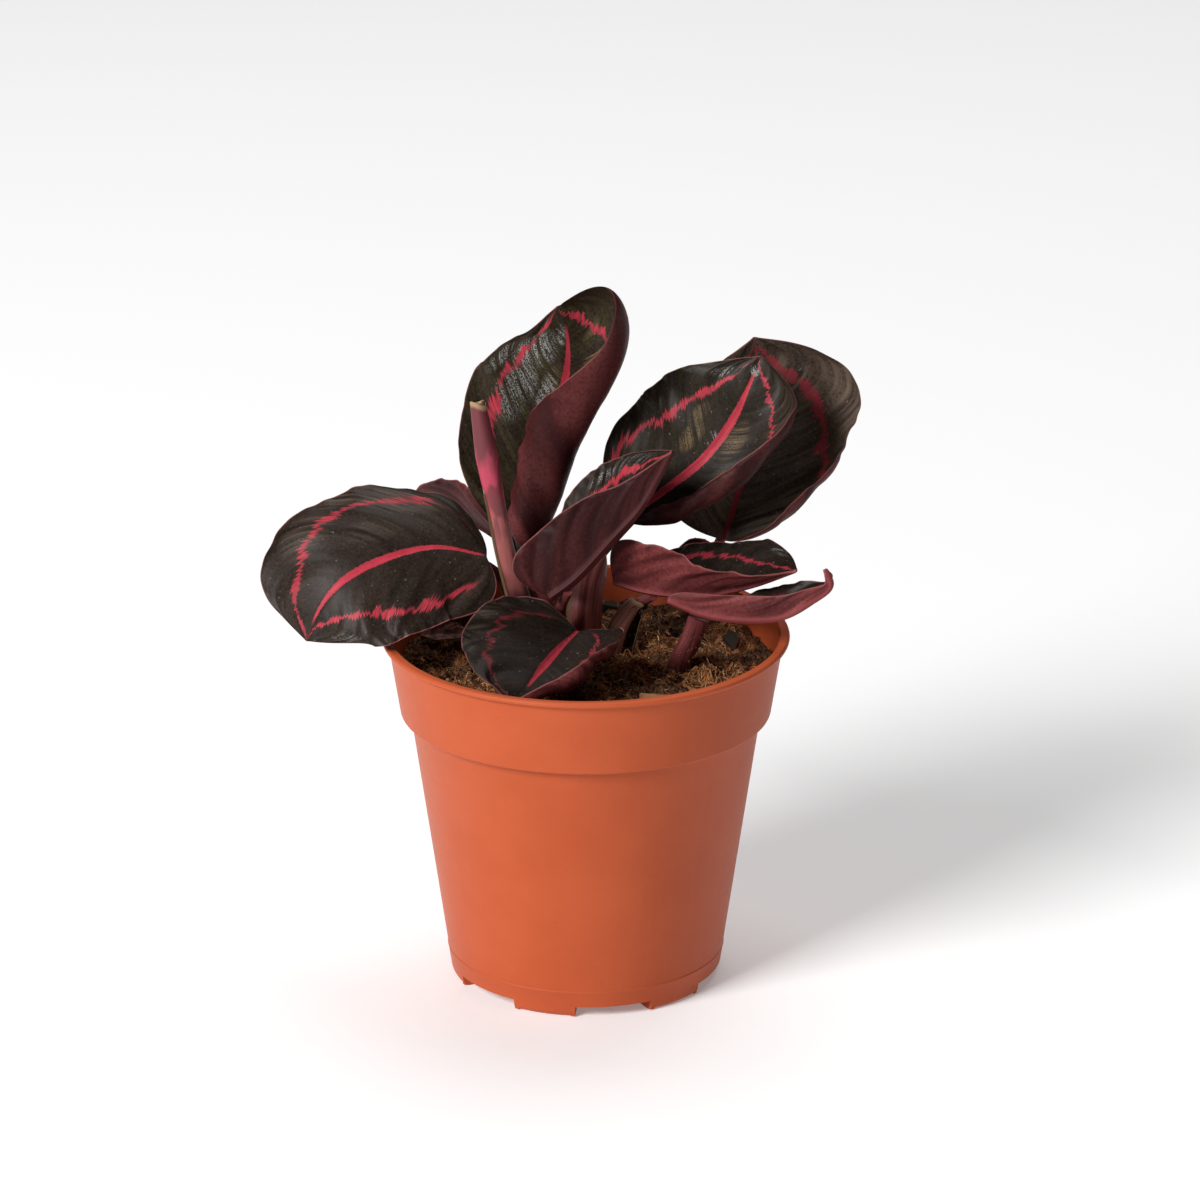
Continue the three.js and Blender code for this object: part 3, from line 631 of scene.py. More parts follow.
def patches(tree, leaf, spots):
    """Soft patches, each with its place along and across, its reach both ways and its strength."""
    total = calc(tree, "MULTIPLY", leaf["t"], 0.0)
    for (t, side), (long, wide), strength in spots:
        x = calc(tree, "POWER", calc(tree, "MULTIPLY_ADD", leaf["t"], 1 / long, -t / long), 2.0)
        y = calc(tree, "MULTIPLY_ADD", leaf["side"], 1 / wide, -side / wide)
        away = calc(tree, "MULTIPLY_ADD", y, y, x)
        total = calc(tree, "MAXIMUM", total, calc(tree, "MULTIPLY", step(tree, away, 1.0, 0.0), strength))
    return total


print("colours may jump", VEINS, "times along the midrib")


# %% [markdown]
# ## The painted upper side
# The upper side is nearly black, with brown and olive in it. A rose line runs along the midrib, a feathered
# rose ring goes round about two thirds of the way out, and the margin is a fine pink line. The ring jumps a
# little from vein to vein and its edges are frayed along them. Golden lanes lie between the veins, and there
# are painted highlights too: grey freckles of glint and tan streaks of sheen where the gloss catches the light.

# %% The dark ground of the upper side
NEAR_BLACK = (0.0115, 0.0072, 0.0056)
BLACK_BROWN = (0.023, 0.0145, 0.0115)
OLIVE = (0.027, 0.0215, 0.009)
PIT_BLACK = (0.004, 0.003, 0.0025)


def base_colour(tree, leaf, seed, olive, lift):
    """Nearly black, browner or greener in slow streaks, with dark hairlines for the veins."""
    # lift is painted light: it makes the ground tones paler on a leaf that stands in more light.
    near_black, brown, green = (scaled(tone, lift) for tone in (NEAR_BLACK, BLACK_BROWN, OLIVE))
    slow = streaks(tree, leaf, 9.0, 1.2, seed + 9.0, 1.0)
    middle = streaks(tree, leaf, 34.0, 1.6, seed)
    mottle = cloud(tree, object_place(tree), 1300.0, 3.0, 0.7)
    line = calc(tree, "PINGPONG", calc(tree, "MULTIPLY", leaf["vein"], float(VEINS)), 0.5)
    colour = tinted(tree, step(tree, slow, 0.3, 0.7), near_black, brown)
    colour = over(tree, colour, green, step(tree, middle, 0.35, 0.68), olive)
    colour = over(tree, colour, PIT_BLACK, step(tree, mottle, 0.5, 0.36), 0.55)
    colour = over(tree, colour, scaled(brown, 1.9), step(tree, mottle, 0.55, 0.72), 0.5)
    return over(tree, colour, NEAR_BLACK, step(tree, line, 0.07, 0.0), 0.45)


print("the ground tones reflect", [round(sum(tone) / 3, 4) for tone in (NEAR_BLACK, BLACK_BROWN, OLIVE)])

# %% The rose ring
RING_JUMP, RING_FRAY = 0.085, 0.24  # how far it jumps at a vein, and how far its edge is frayed
RING_NARROW, RING_SWELL = 0.018, 0.034  # its half width, and what a swelling adds
RING_EDGE = 0.016  # how soft its edge is


def rose_ring(tree, leaf, seed, reaches, strengths, fibres, widths):
    """1 in the ring and 0 beside it."""
    t = leaf["t"]
    middle = by_half(tree, leaf, bowed(tree, t, reaches[0]), bowed(tree, t, reaches[1]))
    jump = calc(tree, "MULTIPLY_ADD", jumps(tree, leaf, seed), RING_JUMP, -RING_JUMP / 2)
    frayed = calc(tree, "MULTIPLY_ADD", fibres, RING_FRAY, -RING_FRAY / 2)
    away = calc(tree, "SUBTRACT", leaf["reach"], middle)
    away = calc(tree, "SUBTRACT", away, calc(tree, "ADD", jump, frayed))
    swell = streaks(tree, leaf, 13.0, 1.0, seed + 3.0, 1.0)
    wide = by_half(tree, leaf, bowed(tree, t, widths[0]), bowed(tree, t, widths[1]))
    half_width = calc(tree, "MULTIPLY_ADD", step(tree, swell, 0.4, 0.66), RING_SWELL, RING_NARROW)
    past = calc(tree, "SUBTRACT", calc(tree, "ABSOLUTE", away), calc(tree, "MULTIPLY", half_width, wide))
    strength = by_half(tree, leaf, strengths[0], strengths[1])
    broken = step(tree, calc(tree, "ADD", swell, strength), 0.62, 0.82)
    there = calc(tree, "MULTIPLY", step(tree, t, 0.02, 0.12), calc(tree, "MINIMUM", broken, strength))
    return calc(tree, "MULTIPLY", step(tree, past, RING_EDGE, -RING_EDGE), there)


print("the ring is between", 2 * RING_NARROW, "and", 2 * (RING_NARROW + RING_SWELL), "of a half wide")


# %% The midrib's line
def rose_midrib(tree, leaf, span, half_width, fibres):
    """1 on the line along the midrib, which opens and closes along its span."""
    t = leaf["t"]
    first, last = span
    opening = step(tree, t, first, first + 0.6 * (last - first))
    swell = calc(tree, "MULTIPLY", opening, step(tree, t, last, last - 0.3))
    width = calc(tree, "MULTIPLY_ADD", swell, half_width * 0.7, half_width * 0.3)
    ragged = calc(tree, "MULTIPLY_ADD", fibres, 0.8, -0.4)
    past = calc(tree, "SUBTRACT", calc(tree, "ADD", leaf["across"], ragged), width)
    ends = calc(tree, "MULTIPLY", step(tree, t, first, first + 0.04), step(tree, t, last, last - 0.05))
    return calc(tree, "MULTIPLY", step(tree, past, 0.1, -0.1), ends)


ROSE = (0.47, 0.038, 0.06)
DUSTY_ROSE = (0.2, 0.03, 0.038)


def rose_paint(tree, leaf, colour, seed, ring, ring_widths, rib, rib_strength, glow, fibres):
    """Lays the ring and the midrib's line over the leaf's colour."""
    rose = tinted(tree, step(tree, fibres, 0.3, 0.62), DUSTY_ROSE, scaled(ROSE, glow))
    colour = tinted(tree, rose_ring(tree, leaf, seed, *ring, fibres, ring_widths), colour, rose)
    along_rib = stretched(tree, leaf["t"], 14.0, leaf["across"], 1.6, seed)
    rib_rose = tinted(tree, step(tree, along_rib, 0.35, 0.65), scaled(ROSE, 0.75 * glow), scaled(ROSE, glow))
    return over(tree, colour, rib_rose, rose_midrib(tree, leaf, *rib, fibres), rib_strength)


print("rose", ROSE, "and where it is dusty", DUSTY_ROSE)

# %% Painted glints, gold and painted sheen between the veins
# Painted highlights: a grey for glints between the veins and tiny glints all over, and a tan for painted sheen
# on the puckers.
GLINT_GREY = (0.34, 0.34, 0.32)
GOLD = (0.16, 0.105, 0.05)
TAN_SHEEN = (0.085, 0.064, 0.05)


def glints_gold_and_sheen(tree, leaf, colour, seed, glint_patches, gold, sheen_patches, lift, fibres, grain):
    """Lays the painted glints, the gold and the painted sheen between the veins, each in its patches."""
    lanes = streaks(tree, leaf, 30.0, 1.3, seed + 2.0, 2.0)
    hairline = calc(tree, "PINGPONG", calc(tree, "MULTIPLY", leaf["vein"], VEINS * 2.0), 0.5)
    between = calc(tree, "MULTIPLY", step(tree, hairline, 0.03, 0.1), step(tree, lanes, 0.4, 0.56))
    # Painted sheen: tan streaks between the veins where the puckers would catch the light.
    if sheen_patches:
        share = calc(tree, "MULTIPLY", patches(tree, leaf, sheen_patches), step(tree, lanes, 0.38, 0.66))
        colour = over(tree, colour, scaled(TAN_SHEEN, lift**0.5), share, step(tree, fibres, 0.2, 0.55))
    if gold:
        share = calc(tree, "MULTIPLY", patches(tree, leaf, gold), between)
        colour = over(tree, colour, GOLD, share, step(tree, grain, 0.3, 0.55))
    # Painted highlights: grey glints freckled between the veins, in their patches.
    if glint_patches:
        glint_specks = step(tree, calc(tree, "MULTIPLY_ADD", fibres, 0.4, grain), 0.65, 0.75)
        share = calc(tree, "MULTIPLY", patches(tree, leaf, glint_patches), between)
        colour = over(tree, colour, GLINT_GREY, share, glint_specks)
    return colour


print("glint_patches", GLINT_GREY, "gold", GOLD, "sheen_patches", TAN_SHEEN)

# %% The finish of an upper side
MARGIN_PINK = (0.27, 0.09, 0.085)
EVEN = ((1, 1, 1), (1, 1, 1))  # the ring's width follows no curve of its own
UPPER_SHINE, UNDER_SHINE = 0.11, 0.085


def upper_finish(name, seed, ring, rib, olive, glow=1.0, glint_patches=(), gold=(), sheen_patches=(), rib_strength=1.0,
                 lift=1.0, ring_widths=EVEN):
    """ring holds the reaches and the strengths for the left and right half, rib its span and half width."""
    material, tree, shader = finish_named(name)
    leaf = leaf_reading(tree)
    fibres = streaks(tree, leaf, 88.0, 5.0, seed)
    grain = cloud(tree, object_place(tree), 3000.0, 2.0)
    colour = base_colour(tree, leaf, seed, olive, lift)
    colour = glints_gold_and_sheen(tree, leaf, colour, seed, glint_patches, gold, sheen_patches, lift, fibres, grain)
    colour = rose_paint(tree, leaf, colour, seed, ring, ring_widths, rib, rib_strength, glow, fibres)
    colour = over(tree, colour, MARGIN_PINK, step(tree, leaf["edge"], 0.34, 0.14), 0.8)
    # Painted highlights: tiny grey glints all over the upper side.
    tiny_glints = step(tree, cloud(tree, object_place(tree), 1500.0, 0.0), 0.8, 0.84)
    colour = over(tree, colour, GLINT_GREY, tiny_glints, 0.25)
    height = calc(tree, "ADD", calc(tree, "MULTIPLY", fibres, 0.35), calc(tree, "MULTIPLY", grain, 0.6))
    dressed(tree, shader, colour, calc(tree, "MULTIPLY_ADD", grain, 0.2, 0.3), UPPER_SHINE, height, 0.3, 0.1)
    return material


print("shine above", UPPER_SHINE, "and below", UNDER_SHINE)

# %% [markdown]
# ## The maroon underside
# Underneath, the blade is dark wine red and satin, with painted light and shade in slow folds that follow
# the veins: paler on a fold and darker beside it. The keel of the midrib is redder and the margin is a fine
# pink line. The same maps drive it, with softer contrasts.

# %% The finish of an underside
MAROON_DARK = (0.034, 0.0072, 0.0078)
MAROON = (0.088, 0.0195, 0.019)
MAROON_PALE = (0.163, 0.044, 0.043)
KEEL_RED = (0.13, 0.027, 0.028)


def under_finish(name, seed, depth):
    """depth scales all its tones: above 1 for an underside in more light, below 1 for one in shade, which is
    painted light and shade.
    """
    material, tree, shader = finish_named(name)
    leaf = leaf_reading(tree)
    fibres = streaks(tree, leaf, 60.0, 2.0, seed)
    fold_light_and_shade = streaks(tree, leaf, 7.0, 0.8, seed + 5.0, 1.0)
    mottle = cloud(tree, object_place(tree), 1100.0, 3.0, 0.7)
    grain = cloud(tree, object_place(tree), 3200.0, 2.0)
    tones = MAROON_DARK, MAROON, MAROON_PALE, KEEL_RED
    dark, middle, light, keel = (scaled(tone, depth) for tone in tones)
    # Painted light and shade of the slow folds: paler on a fold, darker beside it.
    colour = tinted(tree, step(tree, fold_light_and_shade, 0.3, 0.6), dark, middle)
    colour = over(tree, colour, light, step(tree, fold_light_and_shade, 0.52, 0.75), 0.5)
    colour = over(tree, colour, dark, step(tree, mottle, 0.52, 0.38), 0.5)
    colour = over(tree, colour, light, step(tree, mottle, 0.56, 0.74), 0.35)
    colour = over(tree, colour, light, step(tree, fibres, 0.5, 0.75), 0.1)
    colour = over(tree, colour, keel, step(tree, leaf["across"], 1.2, 0.4), 0.7)
    colour = over(tree, colour, MARGIN_PINK, step(tree, leaf["edge"], 0.4, 0.15), 0.6)
    height = calc(tree, "ADD", fibres, calc(tree, "MULTIPLY", grain, 0.8))
    dressed(tree, shader, colour, calc(tree, "MULTIPLY_ADD", grain, 0.2, 0.38), UNDER_SHINE, height, 0.22, 0.1)
    return material


print("maroon", MAROON, "and darkest", MAROON_DARK)

# %% [markdown]
# ## Growing the leaves
# No two leaves are painted alike: the tall one shows the most painted glints, the front one only pieces of its
# ring, and on the far right one the midrib is a thin dark red. These differences are a few numbers for each
# leaf: the ring's reach at the base, the middle and the tip of both halves, how strong it is on each, where the
# midrib's line begins and ends, where the painted glints, the gold and the painted tan sheen lie, and how much
# paler the ground is on a leaf that stands in more light, which is painted light.

# %% How each leaf is painted
# lift is painted light: a leaf in more light gets paler ground tones. The far right one also gets tan patches
# of painted sheen low down, for the light there.
PAINT = {
    "left": dict(
        ring=(((0.5, 0.7, -0.05), (0.45, 0.73, 0.1)), (1.0, 0.8)), rib=((0.0, 0.93), 1.05), olive=0.2,
        ring_widths=((0.2, 1.3, 0.8), (0.6, 1.2, 1.4)), lift=1.35,
        sheen_patches=[((0.33, 0.74), (0.2, 0.28), 0.9), ((0.5, 0.93), (0.14, 0.16), 0.8),
             ((0.46, 0.36), (0.16, 0.2), 0.4), ((0.68, 0.72), (0.14, 0.25), 0.7)],
        glint_patches=[((0.9, -0.72), (0.07, 0.25), 0.3)],
    ),
    "tall": dict(
        ring=(((0.5, 0.67, 0.5), (0.6, 0.78, -0.05)), (1.0, 1.0)), rib=((0.3, 0.92), 1.05), olive=1.0,
        ring_widths=((1.0, 1.15, 1.2), (1, 1, 1.3)), lift=1.6,
        glint_patches=[((0.6, -0.5), (0.16, 0.26), 0.9), ((0.8, -0.45), (0.12, 0.36), 0.9),
                ((0.74, -0.85), (0.12, 0.12), 0.7), ((0.6, -0.16), (0.14, 0.12), 0.8),
                ((0.87, -0.1), (0.06, 0.12), 0.9)],
        gold=[((0.78, 0.25), (0.14, 0.16), 1.0), ((0.66, -0.12), (0.1, 0.12), 0.5)],
    ),
    "centre": dict(
        ring=(((0.6, 0.72, 0.4), (0.6, 0.65, 0.4)), (1.0, 0.0)), rib=((0.0, 0.9), 0.7), olive=0.2,
        ring_widths=((1.6, 1.6, 1.0), (1, 1, 1)),
        glint_patches=[((0.62, -0.84), (0.14, 0.08), 0.75), ((0.8, -0.75), (0.2, 0.2), 0.25)],
        sheen_patches=[((0.55, -0.9), (0.4, 0.3), 0.5)],
    ),
    "right": dict(
        ring=(((0.8, 0.62, 0.3), (0.6, 0.75, 0.0)), (1.0, 1.0)), rib=((-0.3, 0.94), 1.15), olive=0.8,
        ring_widths=((1.9, 1.25, 0.6), (1.3, 1.3, 1.0)),
        gold=[((0.5, -0.27), (0.12, 0.13), 0.9), ((0.62, 0.16), (0.12, 0.14), 0.8),
              ((0.62, -0.36), (0.1, 0.1), 0.7), ((0.45, 0.3), (0.08, 0.12), 0.5)],
        glint_patches=[((0.57, -0.07), (0.05, 0.06), 1.0), ((0.93, -0.02), (0.04, 0.16), 0.9),
                ((0.87, -0.6), (0.05, 0.16), 0.7)],
        sheen_patches=[((0.8, 0.7), (0.2, 0.4), 0.6)],
    ),
    "far_right": dict(
        ring=(((0.6, 0.68, 0.0), (0.6, 0.66, -0.1)), (0.6, 0.75)), rib=((-0.3, 0.95), 1.0), olive=0.3,
        glow=0.7, rib_strength=0.9, lift=3.2, ring_widths=((1, 1, 1), (1.3, 1.7, 1.4)),
        sheen_patches=[((0.8, 0.36), (0.12, 0.22), 1.0), ((0.45, 0.35), (0.25, 0.25), 0.6),
             ((0.75, 0.85), (0.2, 0.3), 0.7), ((0.25, -0.3), (0.3, 0.4), 0.9),
             ((0.2, 0.4), (0.22, 0.45), 0.9)],
        gold=[((0.12, -0.05), (0.14, 0.25), 0.5), ((0.7, 0.3), (0.14, 0.2), 0.4)],
    ),
    "low_upper": dict(
        ring=(((0.6, 0.76, 0.1), (0.6, 0.7, 0.1)), (0.95, 1.0)), rib=((0.0, 0.5), 0.5), olive=0.2,
        glow=0.75, ring_widths=((1.3, 1.2, 1.2), (1, 1, 1)),
        glint_patches=[((0.88, -0.85), (0.06, 0.15), 0.5)],
    ),
    "low_lower": dict(
        ring=(((0.6, 0.7, 0.1), (0.6, 0.7, 0.1)), (0.3, 0.3)), rib=((0.0, 0.4), 0.4), olive=0.2, glow=0.5,
    ),
    "front": dict(
        ring=(((0.5, 0.45, 0.3), (0.5, 0.7, 0.3)), (0.95, 0.42)), rib=((-0.1, 0.75), 1.1), olive=0.2,
        glow=0.68, sheen_patches=[((0.5, 0.95), (0.5, 0.2), 0.5)],
    ),
    "back_left": dict(
        ring=(((0.5, 0.7, 0.1), (0.5, 0.7, 0.1)), (0.8, 0.8)), rib=((0.0, 0.9), 0.8), olive=0.4, glow=0.6,
    ),
    "small_back": dict(
        ring=(((0.5, 0.7, 0.1), (0.5, 0.7, 0.1)), (0.8, 0.8)), rib=((0.0, 0.9), 0.3), olive=0.4, glow=0.6,
    ),
}
# Painted light and shade: each underside's tones are paler where it lies in light and darker where it lies in
# shade.
UNDER_LIGHT_AND_SHADE = {"centre": 0.55, "right": 0.5, "low_upper": 1.9, "low_lower": 2.0, "front": 1.3}
print("with silver:", [name for name, paint in PAINT.items() if "glint_patches" in paint])

# %% The ten open leaves
for seed, (name, leaf) in enumerate(LEAVES.items(), start=3):
    upper = upper_finish(f"upper_{name}", float(seed), **PAINT[name])
    lower = under_finish(f"under_{name}", float(seed), depth=UNDER_LIGHT_AND_SHADE.get(name, 1.0))
    mesh = blade_mesh(f"blade_{name}", leaf, seed, upper, lower)
    place(f"blade_{name}", mesh, f"leaf_{name}", "blade")
    print("leaf", name, len(mesh.polygons), "faces")

# %% [markdown]
# ## Stalks with sheaths
# A calathea has no trunk: each stalk comes out of the soil, and its lower part is a sheath wrapped round the
# younger stalks. A stalk is swept along its curve as rings of points, as Blender's curve bevel does, but with
# a map that runs along it, so its stripes follow the bends.

# %% Where a stalk runs
ROOT_DEPTH = 12  # how far its lower end stands in the soil
SEAT = 0.08  # where on the midrib a stalk meets its leaf, unless the leaf says otherwise


def sweep(path, t):
    """Places along a path with two directions across it that don't twist."""
    centre, heading = spline(path, t)
    side = np.array([1.0, 0.0, 0.0])
    sides = []
    for direction in heading:
        side = unit(side - direction * (side @ direction))
        sides.append(side)
    sides = np.array(sides)
    return centre, sides, np.cross(heading, sides)


def seat_of(leaf):
    """The place on the midrib where the stalk meets it, and up from there."""
    point, _, _, up = rib_frame(leaf, np.array([leaf.get("seat", SEAT)]))
    return point[0], up[0]


def stalk_path(leaf, end_radius):
    """From the root to just under the midrib."""
    x, y, z = leaf["stem"][0]
    point, up = seat_of(leaf)
    return [(x, y, z - ROOT_DEPTH), *leaf["stem"], tuple(point - up * (THICKNESS + 0.4 + 0.5 * end_radius))]


print("the tall leaf's stalk passes", len(stalk_path(LEAVES["tall"], 1.3)), "points")

# %% Sweeping a ring along the path
SIDES = 28
STALK_ROWS = 70
STALK_MAP = "StalkGrid"  # share along the stalk and round it


def tube_mesh(name, path, radii, finish, flat, seed, blade_up=None):
    """A closed stalk; flat squeezes it, and its end slants to lie along a blade that faces blade_up."""
    rng = np.random.default_rng(seed)
    t = np.linspace(0, 1, STALK_ROWS + 1)
    centre, side, front = sweep(path, t)
    turn = np.linspace(0, 2 * np.pi, SIDES + 1)
    radius = np.interp(t, np.linspace(0, 1, len(radii)), radii)[:, None]
    ribs = sum(rng.uniform(0.01, 0.03) * np.cos(k * turn + rng.uniform(0, 6)) for k in (2, 3, 5, 7))
    radius = radius * (1 + ribs[None, :])
    x = (radius * np.cos(turn))[..., None] * side[:, None, :]
    y = (radius * (1 - flat) * np.sin(turn))[..., None] * front[:, None, :]
    points = centre[:, None, :] + x + y
    if blade_up is not None:
        heading = unit(centre[-1] - centre[-2])
        slide = -((x + y) @ blade_up) / (heading @ blade_up) * smooth(t, 0.7, 1)[:, None]
        points = points + slide[..., None] * heading
    grid = np.stack(np.meshgrid(t, turn / (2 * np.pi), indexing="ij"), axis=-1).reshape(-1, 2)
    columns = SIDES + 1
    faces = quads(STALK_ROWS + 1, columns, turned=True).tolist()
    points = np.vstack([points.reshape(-1, 3), centre[:1], centre[-1:]])
    grid = np.vstack([grid, [(0, 0.5), (1, 0.5)]])
    first, last = len(points) - 2, STALK_ROWS * columns
    faces += [(first, k + 1, k) for k in range(SIDES)]
    faces += [(first + 1, last + k, last + k + 1) for k in range(SIDES)]
    return make_mesh(name, points, faces, {STALK_MAP: grid}, (finish,), crease=60)


print("a stalk has", STALK_ROWS, "rows of", SIDES, "faces")

# %% [markdown]
# ## The stalks' skin
# A stalk is maroon, with fine stripes along it and paler blotches. Both are noise over the stalk's own map,
# stretched far along it for the stripes and less for the blotches. A wood or fur look would need no map, but it
# wouldn't follow the bends.

# %% Stalk finish
STALK_DARK = (0.07, 0.0155, 0.0165)
STALK_RED = (0.2, 0.044, 0.045)
STALK_PINK = (0.27, 0.09, 0.08)
STALK_SHINE = 0.3


def stalk_finish(seed):
    material, tree, shader = finish_named("stalk")
    t, turn = mapped(tree, STALK_MAP)
    stripes = stretched(tree, t, 2.0, turn, 26.0, seed)
    blotches = stretched(tree, t, 4.0, turn, 5.0, seed)
    grain = cloud(tree, object_place(tree), 3500.0, 2.0)
    colour = tinted(tree, step(tree, stripes, 0.3, 0.7), STALK_DARK, STALK_RED)
    colour = over(tree, colour, STALK_PINK, step(tree, blotches, 0.45, 0.8), 0.35)
    height = calc(tree, "ADD", stripes, calc(tree, "MULTIPLY", grain, 0.4))
    dressed(tree, shader, colour, calc(tree, "MULTIPLY_ADD", grain, 0.2, 0.36), STALK_SHINE, height, 0.3, 0.2)
    return material


STALK = stalk_finish(2.0)
print("finishes so far", len(bpy.data.materials))

# %% The ten stalks
CORE_RADII = {"right": (1.9, 1.7, 1.3), "low_upper": (1.5, 1.4, 1.2)}  # these two stand in wide sheaths
FLAT = 0.05
SHOWN_END = "low_lower"  # the one stalk whose end shows, so it is cut along its leaf and reaches further
SHOWN_REACH, SHOWN_FLAT = 0.5, 0.15

for seed, (name, leaf) in enumerate(LEAVES.items(), start=20):
    radii = CORE_RADII.get(name, leaf["radius"])
    path = stalk_path(leaf, radii[-1])
    if name == SHOWN_END:
        _, blade_up = seat_of(leaf)
        path[-1] = tuple(np.array(path[-1]) + SHOWN_REACH * blade_up)
        mesh = tube_mesh(f"stalk_{name}", path, radii, STALK, SHOWN_FLAT, seed, blade_up)
    else:
        mesh = tube_mesh(f"stalk_{name}", path, radii, STALK, FLAT, seed)
    place(f"stalk_{name}", mesh, f"stem_{name}", "stem")
print("stalks", len(LEAVES))

# %% [markdown]
# ## Wrapped sheets: sheaths and the rolled leaf
# A sheath and an unopened leaf are both thin sheets wound round an axis, with one free edge lying on the
# layer below. A section that spirals inwards shows that edge, and at the top one can look into the roll. A
# plain tube with a dark disc on top would be simpler, but it reads as a pipe.

# %% A sheet wound round a path
WRAP_THICKNESS = 0.35
WRAP_COLUMNS = 110
RIM_MAP = "WrapRim"  # share up to the rim and round the sheet


def wrap_mesh(name, path, radii, turns, start, finishes, span=(0.0, 1.0), slant=0.0, inward=0.28, rows=90,
              thickness=WRAP_THICKNESS):
    """start is the angle of the outer free edge in degrees, slant how far the rim drops round its turn."""
    rng = np.random.default_rng(1)
    u = np.linspace(0, 1, WRAP_COLUMNS)
    angle = np.radians(start) + 2 * np.pi * turns * u
    rim = span[1] - slant * (0.5 - 0.5 * np.cos(2 * np.pi * u + 0.4))
    rim = rim + 0.006 * np.sin(9 * u + rng.uniform(0, 6)) + 0.004 * np.sin(23 * u)
    s = np.linspace(0, 1, rows + 1)
    t = span[0] + (rim[None, :] - span[0]) * s[:, None]
    fine = np.linspace(0, 1, 600)
    centre, side, front = sweep(path, fine)

    def at(values):
        return np.stack([np.interp(t, fine, values[:, k]) for k in range(3)], axis=-1)

    radius = np.interp(t, np.linspace(0, 1, len(radii)), radii) * (1 - inward * u[None, :])
    radius = radius * (1 + 0.02 * np.sin(5 * angle + 9 * t) * s[:, None])
    outward = np.cos(angle)[None, :, None] * at(side) + np.sin(angle)[None, :, None] * at(front)
    outer = at(centre) + radius[..., None] * outward
    side_taper = np.clip(1 - np.abs(2 * u - 1) ** 30, 0, 1)[None, :]
    end_taper = np.clip(1 - np.abs(2 * s - 1) ** 90, 0, 1)[:, None]
    inner = outer - (thickness * np.sqrt(side_taper * end_taper))[..., None] * outward
    grid = np.stack([t, np.broadcast_to(u * turns, t.shape)], axis=-1)
    rim_map = np.stack(np.broadcast_arrays(s[:, None], u[None, :]), axis=-1)
    maps = {STALK_MAP: grid, RIM_MAP: rim_map}
    points, faces, maps, finish_of_face = closed_skin(outer, inner, maps, turned=True)
    return make_mesh(name, points, faces, maps, finishes, finish_of_face, crease=60)


print("points along the rim of a sheet", WRAP_COLUMNS)

# %% [markdown]
# ## The rolled leaf's colours
# The roll shows the back of the blade: wine red below the rim, bright rose where the painted ring and the
# midrib shine through, then pale salmon, and dark maroon down in the crown, which is partly its own colour and
# partly painted shade. Its rim is dry and yellow-brown, and the inside is yellow-green. Sheaths are maroon
# with fine stripes, and their free margins are thin and papery, so they dry to a pale brown.

# %% The roll's finish
# Dark maroon low on the roll: partly its own colour, partly painted shade where it stands in the crown.
ROLL_MAROON = (0.05, 0.014, 0.014)
ROLL_SALMON = (0.33, 0.095, 0.085)
ROLL_ROSE = (0.47, 0.05, 0.095)
ROLL_WINE = (0.14, 0.03, 0.036)
DRY_RIM = (0.35, 0.22, 0.12)


def roll_finish(seed):
    material, tree, shader = finish_named("rolled_blade")
    t, turn = mapped(tree, STALK_MAP)
    s, _ = mapped(tree, RIM_MAP)
    fibres = stretched(tree, t, 9.0, turn, 45.0, seed)
    blots = stretched(tree, t, 8.0, turn, 4.0, seed, 1.0)
    uneven = calc(tree, "ADD", t, calc(tree, "MULTIPLY_ADD", blots, 0.24, -0.12))
    wine = calc(tree, "MULTIPLY", step(tree, blots, 0.5, 0.42), step(tree, t, 0.5, 0.66))
    colour = tinted(tree, step(tree, uneven, 0.38, 0.5), ROLL_MAROON, ROLL_SALMON)
    colour = tinted(tree, step(tree, uneven, 0.63, 0.7), colour, ROLL_ROSE)
    colour = tinted(tree, step(tree, uneven, 0.8, 0.88), colour, ROLL_WINE)
    colour = over(tree, colour, ROLL_WINE, wine, 0.8)
    colour = over(tree, colour, ROLL_WINE, step(tree, fibres, 0.4, 0.75), 0.4)
    colour = tinted(tree, step(tree, s, 0.978, 0.992), colour, DRY_RIM)
    dressed(tree, shader, colour, 0.45, STALK_SHINE, fibres, 0.25, 0.2)
    return material


print("the roll's tones from the crown up:", ROLL_MAROON, ROLL_SALMON, ROLL_ROSE, ROLL_WINE)

# %% Finishes of the sheaths and of the insides
PAPERY = (0.24, 0.15, 0.085)


def inside_finish(name, inner_tone, rim_tone):
    material, tree, shader = finish_named(name)
    s, _ = mapped(tree, RIM_MAP)
    stripes = cloud(tree, object_place(tree), 900.0)
    colour = tinted(tree, step(tree, s, 0.95, 1.0), inner_tone, rim_tone)
    colour = over(tree, colour, rim_tone, step(tree, stripes, 0.4, 0.7), 0.3)
    tree.links.new(colour, shader.inputs["Base Color"])
    shader.inputs["Roughness"].default_value = 0.6
    return material


def sheath_finish(name, seed, papery, dark, red):
    """papery holds how far the thin margins reach, as shares of the way round and from the top."""
    material, tree, shader = finish_named(name)
    t, turn = mapped(tree, STALK_MAP)
    s, u = mapped(tree, RIM_MAP)
    stripes = stretched(tree, t, 2.0, turn, 22.0, seed)
    beside, top = papery
    ragged = calc(tree, "MULTIPLY_ADD", stripes, 0.04, -0.02)
    at_edge = step(tree, calc(tree, "ADD", u, ragged), beside, 0.4 * beside)
    near_edge = calc(tree, "MAXIMUM", at_edge, step(tree, s, 1 - top, 1 - 0.3 * top))
    colour = tinted(tree, step(tree, stripes, 0.3, 0.7), dark, red)
    colour = over(tree, colour, PAPERY, near_edge, 0.85)
    colour = tinted(tree, step(tree, s, 0.98, 0.998), colour, DRY_RIM)
    dressed(tree, shader, colour, 0.42, STALK_SHINE, stripes, 0.35, 0.2)
    return material


